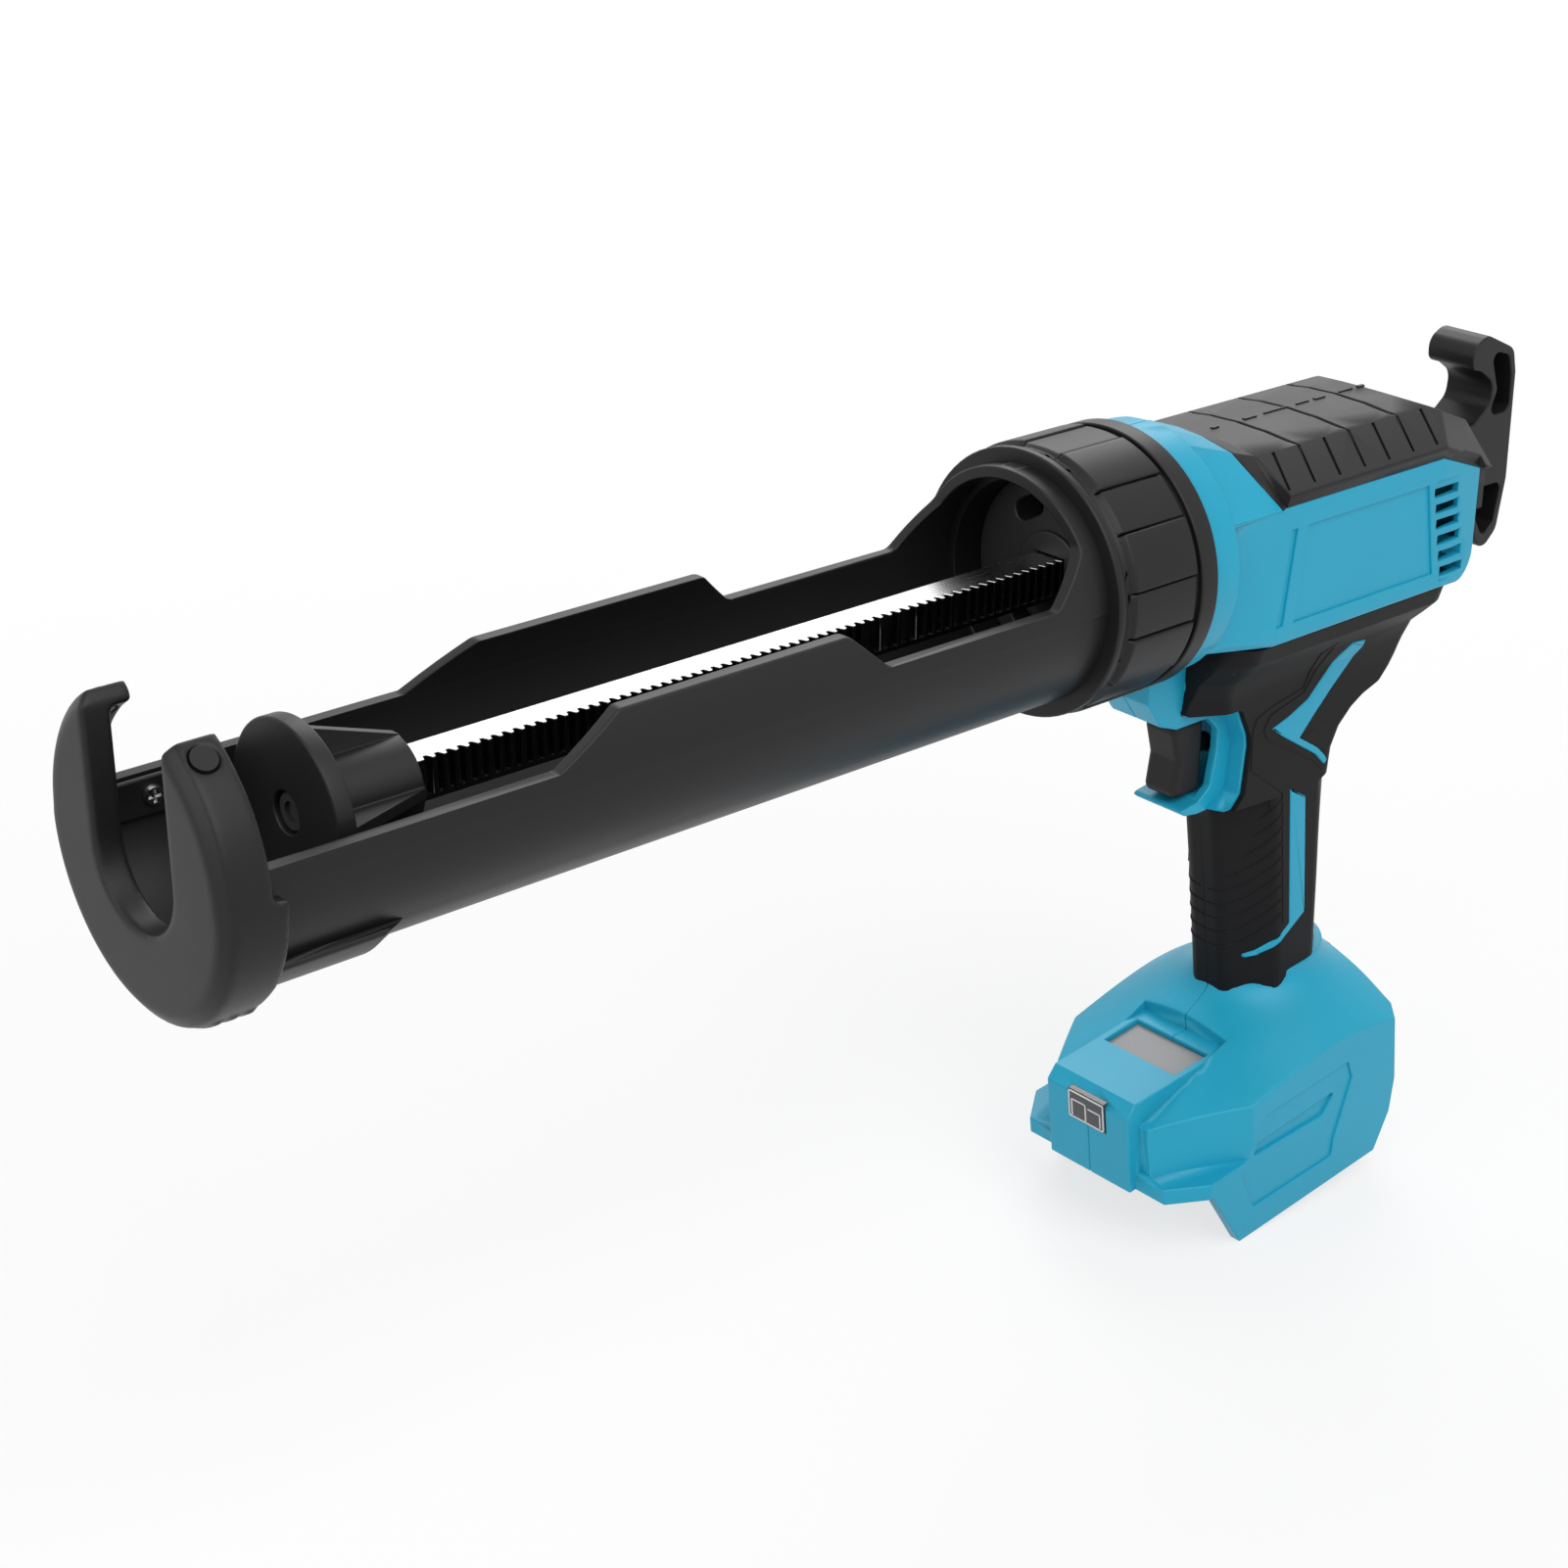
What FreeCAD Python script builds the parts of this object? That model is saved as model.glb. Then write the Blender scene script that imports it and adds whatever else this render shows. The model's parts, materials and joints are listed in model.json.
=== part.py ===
import FreeCAD, Part
import math
import os

os.makedirs("parts", exist_ok=True)
V = FreeCAD.Vector

# Frame: X runs forward along the barrel axis, Y to the tool's left, Z up
# Origin: on the barrel axis, at the front face of the holder's flange

# General fits
overrun = 1.0
seat_gap = 0.05
run_gap = 0.06
free_gap = 0.3
open_gap = 0.6

# Holder tray and nose cap
tray_radius = 33.0
tray_wall = 3.0
rim_band = 0.4
rim_seam_height = 1.0
rim_low = 5.5
rim_high = 15.5
rim_corner = 4.0
cup_length = 6.0
cup_height = 18.0
wing_rear_low = 77.0
wing_rear_high = 88.0
wing_front_setback = 110.0
wing_front_ramp = 20.0
flange_radius = 37.4
flange_thickness = 2.6
neck_radius = 31.5
neck_lug_height = 1.5
neck_lug_length = 4.0
neck_lug_angle = 40.0
bayonet_lugs = 3
saddle_length = 51.0
saddle_ramp = 6.0
saddle_depth = 2.4
saddle_top = -20.0
nose_front = 268.0
nose_radius = 38.2
nose_wall = 7.5
nose_upper_depth = 12.7
nose_lower_depth = 16.0
nose_lower_step = 0.4
nose_chamfer_length = 2.4
nose_chamfer_depth = 3.4
nose_slot_radius = 16.7
prong_top = 33.4
prong_edge = 3.0
nose_tab_length = 10.0
nose_tab_height = 10.0
nose_tab_thickness = 2.0
nose_tab_screw_inset = 5.0
nose_screw_radius = 1.5
nose_screw_head_radius = 2.6
nose_screw_head_height = 1.0
nose_plug_radius = 3.2
nose_plug_length = 6.0
nose_plug_proud = 0.15
nose_plug_angle = 52.0
nose_plug_setback = 6.9
nose_rib_count = 3
nose_rib_height = 0.9
nose_rib_width = 2.2
nose_rib_pitch = 4.0
nose_rib_angle = 70.0

# Lock collar
collar_front = -3.2
collar_rear = -37.7
collar_base_radius = 36.5
collar_pad_radius = 38.0
collar_low_pad_radius = 37.4
collar_band_radius = 37.9
collar_band_length = 6.4
collar_groove = 1.7
collar_bevel_length = 3.2
collar_bevel_depth = 1.9
collar_pairs = 8
collar_pad_angle = 24.0
collar_low_pad_angle = 19.4
collar_first_angle = 54.4
collar_lug_length = 2.2
collar_lug_angle = 40.0
collar_ridge_place = 28.0
collar_ridge_width = 2.0
collar_ridge_height = 1.3

# Rack and its drive
module = 1.0
pressure_angle = 20.0
addendum_share = 0.8
dedendum_share = 1.05
backlash = 0.12
rack_width = 10.0
rack_height = 10.4
rack_web = 1.2
rack_tooth_margin = 3.6
rack_tooth_rear = -106.0
pinion_teeth = 14
pinion_place = -90.0
pinion_height = 9.0
drive_gear_teeth = 32
motor_pinion_teeth = 12
gear_thickness = 7.0
gear_drop = 4.6
shaft_radius = 3.0

# Piston and pull hook on the rack
piston_setback = 38.6
piston_radius = 22.3
piston_disc = 4.8
piston_hub_radius = 11.4
piston_hub_length = 25.0
piston_gusset = 2.6
piston_gussets = 4
piston_recess_radius = 5.2
piston_recess_depth = 3.6
piston_screw_radius = 2.5
piston_screw_head_radius = 4.4
piston_screw_head = 2.4
piston_screw_length = 18.0
rack_end_in_hub = 17.0
hook_front = -168.0
hook_rear = -205.5
hook_width = 17.0
hook_top = 37.2
hook_bottom = -33.8
hook_web = 3.0
hook_corner = 5.0
hook_screw_radius = 2.0
hook_screw_head_radius = 3.6
hook_screw_head = 2.4
hook_screw_inset = 8.0

# Gear case with its bulkhead
bulkhead_face = -12.5
bulkhead_radius = 27.9
bulkhead_thickness = 5.5
case_flange_radius = 33.0
case_flange_thickness = 4.4
case_plate = 3.6
case_top = 12.0
case_bottom = -22.0
case_left = 20.0
case_right = -12.0
case_right_wall = 3.2
case_rear = -126.0
oval_hole_radius = 3.0
oval_hole_length = 5.0
oval_hole_ring = 19.0
oval_hole_angles = (60.0, 120.0, 240.0, 300.0)
case_boss_radius = 12.0
case_boss_height = 1.2
guide_length = 14.0
guide_wall = 2.6
bearing_radius = 6.5
bearing_height = 3.5

# Motor and reduction gearbox in the top of the handle
gearbox_radius = 12.4
gearbox_length = 26.0
motor_radius = 12.0
motor_length = 36.0
motor_cap_radius = 9.0
motor_cap_length = 4.0
motor_tab_width = 2.0
motor_tab_length = 4.0
motor_tab_thickness = 0.6
output_shaft_depth = 9.0
gearbox_screw_radius = 1.25
gearbox_screw_head_radius = 2.3
gearbox_screw_head = 1.4
gearbox_screw_sink = 1.1
gearbox_screw_ring = 8.4
gearbox_screw_depth = 5.0

# Housing
wall = 2.6
nose_ring_radius = 36.4
nose_ring_front = -38.0
nose_ring_rear = -48.0
spigot_radius = 33.0
body_front = -70.0
body_rear = -160.0
body_half_width = 33.0
body_low = -27.0
body_edge = 2.0
body_rear_round = 9.0
body_taper_start = -141.0
body_taper = 2.6
cover_split = 14.7
cover_shoulder = 26.2
cover_crown = 28.6
cover_half_top = 20.7
cover_front_top = -58.0
cover_front_low = -68.0
cover_slope_start = -140.0
cover_rear = -163.0
cover_rear_height = 19.0
cover_rear_drop = -6.0
cover_groove = 1.0
cover_groove_depth = 0.7
cover_groove_arc = 90.0
cover_groove_pitch = 21.6
cover_groove_first = -85.4
cover_grooves = 3
cover_side_groove_front = -77.0
cover_side_grooves = 7
cover_side_groove_lean = 6.5
cover_band_top = 18.2
cover_band_proud = 0.9
cover_edge_drop = 7.6
cover_facet_front = -139.0
cover_facet_top = -151.0
cover_facet_side = 30.5
cover_facet_low = 9.5
panel_depth = 0.8
panel_top = 7.5
panel_low = -20.6
panel_front_top = -80.0
panel_front_low = -76.5
panel_rear_top = -133.3
panel_rear_low = -138.6
panel_groove_gap = 4.5
panel_groove_width = 2.6
vent_count = 6
vent_front = -137.0
vent_length = 11.0
vent_height = 2.9
vent_pitch = 5.1
vent_first = 5.6
vent_shift = 1.25
vent_recess_top = 8.0
vent_recess_low = -24.0
vent_recess_front = -135.4
vent_recess_rear = -149.6

# Handle, grip panels and trigger
handle_top = -27.0
handle_bottom = -147.0
handle_front = -60.0
handle_reach = 100.0
handle_half_width = 24.0
grip_thickness = 2.0
inlay_proud = 0.25
trigger_frame_half_width = 9.7
trigger_frame_front = -44.0
trigger_frame_rear = -82.0
trigger_frame_low = -85.3
trigger_frame_corner = 1.6
trigger_half_width = 6.3
trigger_front = -59.5
trigger_rear = -73.0
trigger_top = -56.6
trigger_low = -80.6
trigger_dish = 3.2
trigger_foot = 1.4
trigger_corner = 2.6
trigger_edge = 2.2
trigger_travel = 6.0
trigger_stem_half_width = 4.0
trigger_stem_height = 9.0
plunger_radius = 2.4
plunger_length = 15.0
switch_front = -85.0
switch_length = 11.0
switch_half_width = 5.6
switch_top = -56.0
switch_low = -82.0

# Speed dial at the rear of the handle's top
dial_radius = 10.0
dial_half_width = 6.0
dial_reach_share = 0.955
dial_drop = 19.5
dial_notches = 18
dial_notch_depth = 0.6
dial_notch_width = 1.0
dial_pot_radius = 3.5
dial_pot_reach = 8.0
dial_band_half_width = 9.0
dial_band_depth = 6.5
dial_band_start = 8.0
dial_band_end = 35.0

# Battery foot, drawn square to itself and then tilted with the handle
foot_tilt = 7.0
foot_pivot_x = -110.0
foot_pivot_z = -150.0
foot_front = 72.5
foot_rear = -29.0
foot_half_width = 37.0
foot_shoulder = -24.0
foot_lip_top = -36.5
foot_lip_bottom = -42.0
foot_lip_step = 2.4
skirt_bottom = -64.4
skirt_wall = 4.0
skirt_front = 60.0
skirt_front_low = 49.0
skirt_rear_low = -14.5
skirt_rear_knee = -53.0
rail_depth = 2.6
rail_height = 3.0
rail_lift = 3.0
rail_front = 44.0
rail_rear = -12.0
side_panel_depth = 0.7
side_slot_depth = 1.2
bay_rear = -22.0
bezel_rear = 31.0
bezel_front = 75.0
bezel_half_width = 16.7
bezel_top = -11.5
bezel_edge = 4.0
window_rear = 37.0
window_front = 52.0
window_half_width = 14.5
window_recess = 1.6
window_thickness = 1.2
display_height = 3.0
lamp_half_width = 7.4
lamp_top = -13.8
lamp_low = -24.2
lamp_depth = 4.0
lamp_proud = 0.4
lamp_board_thickness = 1.2
board_thickness = 1.6
board_rear = -16.0
board_front = 52.0
board_half_width = 24.0
board_level = -34.0
board_post_radius = 2.4
board_post_inset = 5.0
block_rear = 4.0
block_front = 34.0
block_half_width = 15.0
block_height = 8.0
blade_count = 3
blade_pitch = 9.0
blade_thickness = 0.8
blade_length = 16.0
blade_height = 5.0

# Screws through the housing
screw_radius = 1.5
screw_head_radius = 3.0
screw_head = 2.0
screw_boss_radius = 3.6
screw_reach = 9.0

# Outline tables, as shares of the sizes that they follow
# Handle sections: drop, front, rear and half width, as shares of height, reach, reach and half width,
# then the flat end and the shoulder, as shares of the section's own half width and length
handle_shares = (
    (0.00, 0.00, 0.935, 1.29, 0.82, 0.05),
    (0.045, -0.01, 0.945, 1.22, 0.80, 0.06),
    (0.08, -0.02, 0.955, 1.05, 0.74, 0.08),
    (0.115, -0.03, 0.975, 0.86, 0.66, 0.10),
    (0.165, -0.035, 0.985, 0.765, 0.60, 0.12),
    (0.235, -0.035, 0.96, 0.73, 0.56, 0.14),
    (0.268, -0.035, 0.925, 0.725, 0.50, 0.145),
    (0.288, -0.035, 0.855, 0.72, 0.44, 0.155),
    (0.312, -0.035, 0.80, 0.72, 0.40, 0.16),
    (0.353, -0.035, 0.742, 0.72, 0.36, 0.165),
    (0.405, -0.035, 0.71, 0.72, 0.34, 0.17),
    (0.475, -0.035, 0.70, 0.72, 0.34, 0.17),
    (0.484, 0.185, 0.70, 0.72, 0.34, 0.30),
    (0.55, 0.208, 0.70, 0.72, 0.34, 0.30),
    (0.76, 0.25, 0.704, 0.72, 0.34, 0.30),
    (1.03, 0.303, 0.705, 0.72, 0.34, 0.30),
)
handle_corner_share = 0.30
# Transition from the nose ring to the body: angles round the ring that meet the body's corners
ring_angles = (-37.0, 23.0, 64.0, 77.0, 90.0, 103.0, 116.0, 157.0, 217.0, 223.0, 317.0)
crown_share = 0.5
crown_rise_share = 0.75
# Neck of the foot: level, half length, half width and centre, as shares of the foot's sizes
neck_shares = (
    (-0.16, 0.43, 0.49, -0.055),
    (-0.03, 0.445, 0.50, -0.055),
    (0.13, 0.51, 0.575, -0.03),
    (0.33, 0.68, 0.76, 0.03),
    (0.60, 0.98, 1.02, 0.13),
    (1.00, 1.42, 1.38, 0.26),
)
# Plan of the foot's lip: shares of front reach and half width
lip_front_share = 0.76
lip_corner_share = 0.84
body_front_share = 0.55
body_corner_share = 0.60
rear_corner_share = 0.85
rear_width_share = 0.86
skirt_rear_share = 0.76
groove_reach_share = 0.86
facet_reach_share = 3.0
# Hook outline: shares of the hook's length and height, from its front and top
hook_shares = (
    (0.37, 0.045), (0.55, 0.0), (0.92, 0.09), (0.975, 0.20), (1.0, 0.68), (0.93, 0.91),
    (0.74, 1.0), (0.55, 0.84), (0.52, 0.68), (0.0, 0.67), (0.0, 0.39), (0.48, 0.39),
    (0.66, 0.32), (0.68, 0.22), (0.50, 0.155), (0.38, 0.14),
)
hook_upper_pocket_shares = (
    (0.62, 0.075), (0.86, 0.115), (0.915, 0.21), (0.93, 0.37), (0.66, 0.37), (0.75, 0.26),
)
hook_lower_pocket_shares = ((0.60, 0.69), (0.93, 0.69), (0.87, 0.87), (0.75, 0.93), (0.62, 0.82))
# Trigger frame: shares of its length and height from the front and top
frame_shares = (
    (0.0, -0.10), (0.0, 0.30), (0.158, 0.443), (0.34, 0.488), (0.697, 0.488), (0.816, 0.571),
    (0.818, 0.67), (0.763, 0.875), (0.645, 0.933), (0.487, 0.948), (0.447, 0.962), (0.50, 0.988),
    (0.63, 1.0), (0.834, 0.988), (0.947, 0.913), (0.982, 0.657), (0.971, 0.597), (0.839, 0.436),
    (0.797, 0.422), (0.371, 0.422), (0.395, 0.29), (0.395, -0.10),
)
# Mouth of the handle that the trigger frame fills: shares as for the frame
opening_shares = (
    (0.371, 0.436), (0.79, 0.436), (0.828, 0.45), (0.955, 0.602), (0.966, 0.657), (0.932, 0.905),
    (0.826, 0.974), (0.63, 0.99), (-0.2, 0.999), (-0.2, 0.436),
)
# Grip inlays: shares of reach from the handle's front and of height from its top
inlay_upper_shares = (
    (0.605, 0.118), (0.565, 0.142), (0.455, 0.2425), (0.374, 0.272), (0.302, 0.29), (0.348, 0.319),
    (0.511, 0.405), (0.554, 0.441), (0.566, 0.43), (0.556, 0.416), (0.519, 0.3875), (0.432, 0.342),
    (0.669, 0.143), (0.666, 0.1225),
)
inlay_lower_shares = (
    (0.407, 0.474), (0.482, 0.512), (0.523, 0.844), (0.41, 0.91), (0.366, 0.938), (0.331, 0.948),
    (0.331, 0.939), (0.358, 0.926), (0.39, 0.90), (0.454, 0.861),
)
# Recess and slot in the foot's sides: shares of front reach and of the skirt's bottom
side_panel_shares = (
    (0.50, 0.375), (0.66, 0.63), (0.585, 0.85), (0.085, 0.86), (0.07, 0.775), (-0.055, 0.48), (-0.03, 0.375),
)
side_slot_shares = ((0.545, 0.515), (0.568, 0.575), (0.125, 0.60), (0.04, 0.505))
# Housing screw places: shares of body length and body depth below the axis, then handle and foot places
body_screw_shares = ((0.92, 0.62),)
handle_screw_shares = ((0.46, 0.66), (0.52, 0.93))
corner_limit_share = 0.48


# Drawing helpers
def box(x0, x1, y0, y1, z0, z1):
    return Part.makeBox(x1 - x0, y1 - y0, z1 - z0, V(x0, y0, z0))


def rod_x(radius, x0, x1, y=0, z=0):
    return Part.makeCylinder(radius, x1 - x0, V(x0, y, z), V(1, 0, 0))


def rod_y(radius, y0, y1, x=0, z=0):
    return Part.makeCylinder(radius, y1 - y0, V(x, y0, z), V(0, 1, 0))


def rod_z(radius, z0, z1, x=0, y=0):
    return Part.makeCylinder(radius, z1 - z0, V(x, y, z0), V(0, 0, 1))


def tube_x(outer, inner, x0, x1):
    return rod_x(outer, x0, x1).cut(rod_x(inner, x0 - overrun, x1 + overrun))


def outline(points, corner=0):
    """Closed wire through points of one plane, with its corners rounded."""
    edges = []
    starts = []
    ends = []
    count = len(points)
    for i, point in enumerate(points):
        back = points[i - 1] - point
        ahead = points[(i + 1) % count] - point
        room = corner_limit_share * min(back.Length, ahead.Length)
        back.normalize()
        ahead.normalize()
        half = back.getAngle(ahead) / 2
        reach = min(corner / math.tan(half), room)
        starts.append(point + back * reach)
        ends.append(point + ahead * reach)
        if reach > 0:
            inward = back + ahead
            inward.normalize()
            radius = reach * math.tan(half)
            middle = point + inward * (radius / math.sin(half) - radius)
            edges.append(Part.Arc(starts[i], middle, ends[i]).toShape())
        else:
            edges.append(None)
    loop = []
    for i in range(count):
        if edges[i]:
            loop.append(edges[i])
        loop.append(Part.LineSegment(ends[i], starts[(i + 1) % count]).toShape())
    return Part.Wire(loop)


def plate_y(points, y0, y1, corner=0):
    """Prism along Y from points in X and Z."""
    wire = outline([V(x, y0, z) for x, z in points], corner)
    return Part.Face(wire).extrude(V(0, y1 - y0, 0))


def plate_x(points, x0, x1, corner=0):
    """Prism along X from points in Y and Z."""
    wire = outline([V(x0, y, z) for y, z in points], corner)
    return Part.Face(wire).extrude(V(x1 - x0, 0, 0))


def plate_z(points, z0, z1, corner=0):
    """Prism along Z from points in X and Y."""
    wire = outline([V(x, y, z0) for x, y in points], corner)
    return Part.Face(wire).extrude(V(0, 0, z1 - z0))


def turned(points, start=0, sweep=360):
    """Solid turned about the X axis from points of length and radius."""
    face = Part.Face(outline([V(x, r, 0) for x, r in points]))
    solid = face.revolve(V(0, 0, 0), V(1, 0, 0), sweep)
    solid.rotate(V(0, 0, 0), V(1, 0, 0), start)
    return solid


def mirrored(shape):
    return shape.mirror(V(0, 0, 0), V(0, 1, 0))


def joined(shapes):
    return shapes[0].multiFuse(shapes[1:]).removeSplitter()


def half(shape, side):
    """The part of a shape on the left (side 1) or right (side -1) of the tool's middle plane."""
    bounds = shape.BoundBox
    far = side * (max(abs(bounds.YMin), abs(bounds.YMax)) + overrun)
    keep = box(bounds.XMin - overrun, bounds.XMax + overrun, min(0, far), max(0, far),
               bounds.ZMin - overrun, bounds.ZMax + overrun)
    return shape.common(keep)


def save(name, shape):
    shape.exportStep("parts/" + name + ".step")


# Gear teeth
pitch = math.pi * module
addendum = addendum_share * module
dedendum = dedendum_share * module
slope = math.tan(math.radians(pressure_angle))


def involute(angle):
    return math.tan(angle) - angle


def gear_points(teeth, first_angle):
    """Points round a spur gear, with a tooth centred on the first angle."""
    pitch_radius = teeth * module / 2
    base_radius = pitch_radius * math.cos(math.radians(pressure_angle))
    root = pitch_radius - dedendum
    tip = pitch_radius + addendum
    flank_start = max(base_radius, root)
    half_pitch = math.pi / teeth / 2 - backlash / pitch_radius / 2
    radii = [root] + [flank_start + (tip - flank_start) * step / 3 for step in range(4)]
    widths = []
    for radius in radii:
        at = math.acos(min(1, base_radius / max(radius, base_radius)))
        widths.append(half_pitch + involute(math.radians(pressure_angle)) - involute(at))
    if flank_start == root:
        radii.pop(0)
        widths.pop(0)
    points = []
    for tooth in range(teeth):
        middle = math.radians(first_angle) + tooth * 2 * math.pi / teeth
        flank = [(r, middle - w) for r, w in zip(radii, widths)]
        flank += [(r, middle + w) for r, w in zip(reversed(radii), reversed(widths))]
        points += [(r * math.cos(a), r * math.sin(a)) for r, a in flank]
    return points


def spur_gear(teeth, first_angle, x, y, z0, z1):
    gear = plate_z(gear_points(teeth, first_angle), z0, z1)
    gear.translate(V(x, y, 0))
    return gear


# Places that follow other sizes
wing_front_high = nose_front - wing_front_setback
wing_front_low = wing_front_high + wing_front_ramp
saddle_start = nose_front - saddle_length
nose_tab_screw_x = nose_front - nose_lower_depth - nose_tab_screw_inset
piston_front = nose_front - piston_setback
piston_hub_rear = piston_front - piston_disc - piston_hub_length
rack_front = piston_hub_rear + rack_end_in_hub
dial_x = handle_front - dial_reach_share * handle_reach
dial_z = handle_top - dial_drop
dial_band_front = dial_x + dial_band_depth
dial_band_top = handle_top - dial_band_start
dial_band_low = handle_top - dial_band_end
trigger_middle = (trigger_top + trigger_low) / 2

# Places of the drive, worked out from the gears
spigot_front = bulkhead_face - bulkhead_thickness - case_flange_thickness
rack_tip = rack_width / 2
pinion_radius = pinion_teeth * module / 2
drive_radius = drive_gear_teeth * module / 2
motor_pinion_radius = motor_pinion_teeth * module / 2
pinion_y = rack_tip - addendum + pinion_radius
motor_x = pinion_place - math.sqrt((drive_radius + motor_pinion_radius) ** 2 - pinion_y ** 2)
gear_top = -rack_height / 2 - gear_drop
gear_bottom = gear_top - gear_thickness
bottom_plate_top = case_bottom + case_plate
top_plate_low = case_top - case_plate
mesh_angle = math.degrees(math.atan2(-pinion_y, motor_x - pinion_place))


def make_rack():
    half_tip = pitch / 4 - addendum * slope - backlash / 2
    half_root = pitch / 4 + dedendum * slope - backlash / 2
    root_y = rack_tip - addendum - dedendum
    rear = hook_rear + hook_screw_inset
    first = math.ceil((rack_tooth_rear - pinion_place) / pitch)
    last = math.floor((piston_hub_rear - rack_tooth_margin - pinion_place) / pitch)
    points = [(rear, -rack_width / 2), (rack_front, -rack_width / 2), (rack_front, rack_tip)]
    for step in range(last, first - 1, -1):
        middle = pinion_place + step * pitch
        if step < last:
            points += [(middle + half_root, root_y), (middle + half_tip, rack_tip)]
        if step > first:
            points += [(middle - half_tip, rack_tip), (middle - half_root, root_y)]
    points.append((rear, rack_tip))
    toothed = plate_z(points, rack_web - rack_height / 2, rack_height / 2)
    web = box(rear, rack_front, -rack_width / 2, rack_tip, -rack_height / 2, rack_web - rack_height / 2)
    bar = joined([toothed, web])
    front_hole = rod_x(piston_screw_radius, rack_front - piston_screw_length, rack_front + overrun)
    rear_hole = rod_x(hook_screw_radius, rear - overrun, rear + piston_screw_length)
    return bar.cut(front_hole).cut(rear_hole)


def make_piston():
    disc_rear = piston_front - piston_disc
    disc = rod_x(piston_radius, disc_rear, piston_front)
    hub = rod_x(piston_hub_radius, piston_hub_rear, disc_rear + overrun)
    rib_points = [(piston_hub_rear, 0), (piston_hub_rear, piston_hub_radius),
                  (disc_rear, piston_radius - piston_gusset), (disc_rear + overrun, 0)]
    ribs = []
    for index in range(piston_gussets):
        rib = plate_y(rib_points, -piston_gusset / 2, piston_gusset / 2)
        rib.rotate(V(0, 0, 0), V(1, 0, 0), index * 360 / piston_gussets)
        ribs.append(rib)
    body = joined([disc, hub] + ribs)
    socket = box(piston_hub_rear - overrun, rack_front, -rack_width / 2 - seat_gap,
                 rack_width / 2 + seat_gap,
                 -rack_height / 2 - seat_gap, rack_height / 2 + seat_gap)
    recess = rod_x(piston_recess_radius, piston_front - piston_recess_depth, piston_front + overrun)
    hole = rod_x(piston_screw_radius + seat_gap, rack_front - overrun, piston_front)
    return body.cut(socket).cut(recess).cut(hole)


def make_piston_screw():
    seat = piston_front - piston_recess_depth
    head = rod_x(piston_screw_head_radius, seat, seat + piston_screw_head)
    socket = rod_x(piston_screw_radius, seat + piston_screw_head / 2, seat + piston_screw_head + overrun)
    end = rack_front - piston_screw_length + overrun
    shank = rod_x(piston_screw_radius - seat_gap, end, seat)
    return joined([head.cut(socket), shank])


def hook_point(share):
    return (hook_front + share[0] * (hook_rear - hook_front),
            hook_top + share[1] * (hook_bottom - hook_top))


def make_hook():
    body = plate_y([hook_point(s) for s in hook_shares], -hook_width / 2, hook_width / 2, hook_corner)
    for shares in (hook_upper_pocket_shares, hook_lower_pocket_shares):
        points = [hook_point(s) for s in shares]
        pocket = plate_y(points, hook_web / 2, hook_width / 2 + overrun, hook_corner / 2)
        body = body.cut(pocket).cut(mirrored(pocket))
    socket_rear = hook_rear + hook_screw_inset
    socket = box(socket_rear, hook_front + overrun, -rack_width / 2 - seat_gap, rack_width / 2 + seat_gap,
                 -rack_height / 2 - seat_gap, rack_height / 2 + seat_gap)
    hole = rod_x(hook_screw_radius + seat_gap, hook_rear - overrun, socket_rear + overrun)
    counterbore = rod_x(hook_screw_head_radius + seat_gap, hook_rear - overrun,
                        hook_rear + hook_screw_head + free_gap)
    return body.cut(socket).cut(hole).cut(counterbore)


def make_hook_screw():
    seat = hook_rear + hook_screw_head + free_gap
    head = rod_x(hook_screw_head_radius, seat - hook_screw_head, seat)
    socket = rod_x(hook_screw_radius * corner_limit_share, seat - hook_screw_head - overrun,
                   seat - hook_screw_head / 2)
    shank = rod_x(hook_screw_radius - seat_gap, seat,
                  hook_rear + hook_screw_inset + piston_screw_length - overrun)
    return joined([head.cut(socket), shank])


# Drive gears
def make_rack_pinion():
    low = -rack_height / 2 + rack_web + open_gap
    gear = spur_gear(pinion_teeth, -90 + 180 / pinion_teeth, pinion_place, pinion_y, low,
                     low + pinion_height)
    return gear.cut(rod_z(shaft_radius, case_bottom, case_top, pinion_place, pinion_y))


def make_drive_gear():
    gear = spur_gear(drive_gear_teeth, mesh_angle, pinion_place, pinion_y, gear_bottom, gear_top)
    return gear.cut(rod_z(shaft_radius, case_bottom, case_top, pinion_place, pinion_y))


def make_pinion_shaft():
    shaft = rod_z(shaft_radius, case_bottom, case_top, pinion_place, pinion_y)
    low = -rack_height / 2 + rack_web + open_gap
    spacer = rod_z(shaft_radius + module, gear_top, low, pinion_place, pinion_y)
    return joined([shaft, spacer])


def make_motor_pinion():
    first = mesh_angle + 180 + 180 / motor_pinion_teeth
    gear = spur_gear(motor_pinion_teeth, first, motor_x, 0, gear_bottom, gear_top)
    shaft = rod_z(shaft_radius, case_bottom - output_shaft_depth, gear_top, motor_x)
    return joined([gear, shaft])


def make_pinion_bearings():
    lower = rod_z(bearing_radius, case_bottom, case_bottom + bearing_height, pinion_place, pinion_y)
    upper = rod_z(bearing_radius, case_top - bearing_height, case_top, pinion_place, pinion_y)
    bore = rod_z(shaft_radius + run_gap, case_bottom - overrun, case_top + overrun, pinion_place,
                 pinion_y)
    return Part.makeCompound([lower.cut(bore), upper.cut(bore)])


# Gear case with its bulkhead
def rack_hole(clearance, x0, x1):
    reach_y = rack_width / 2 + clearance
    reach_z = rack_height / 2 + clearance
    return box(x0, x1, -reach_y, reach_y, -reach_z, reach_z)


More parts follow.
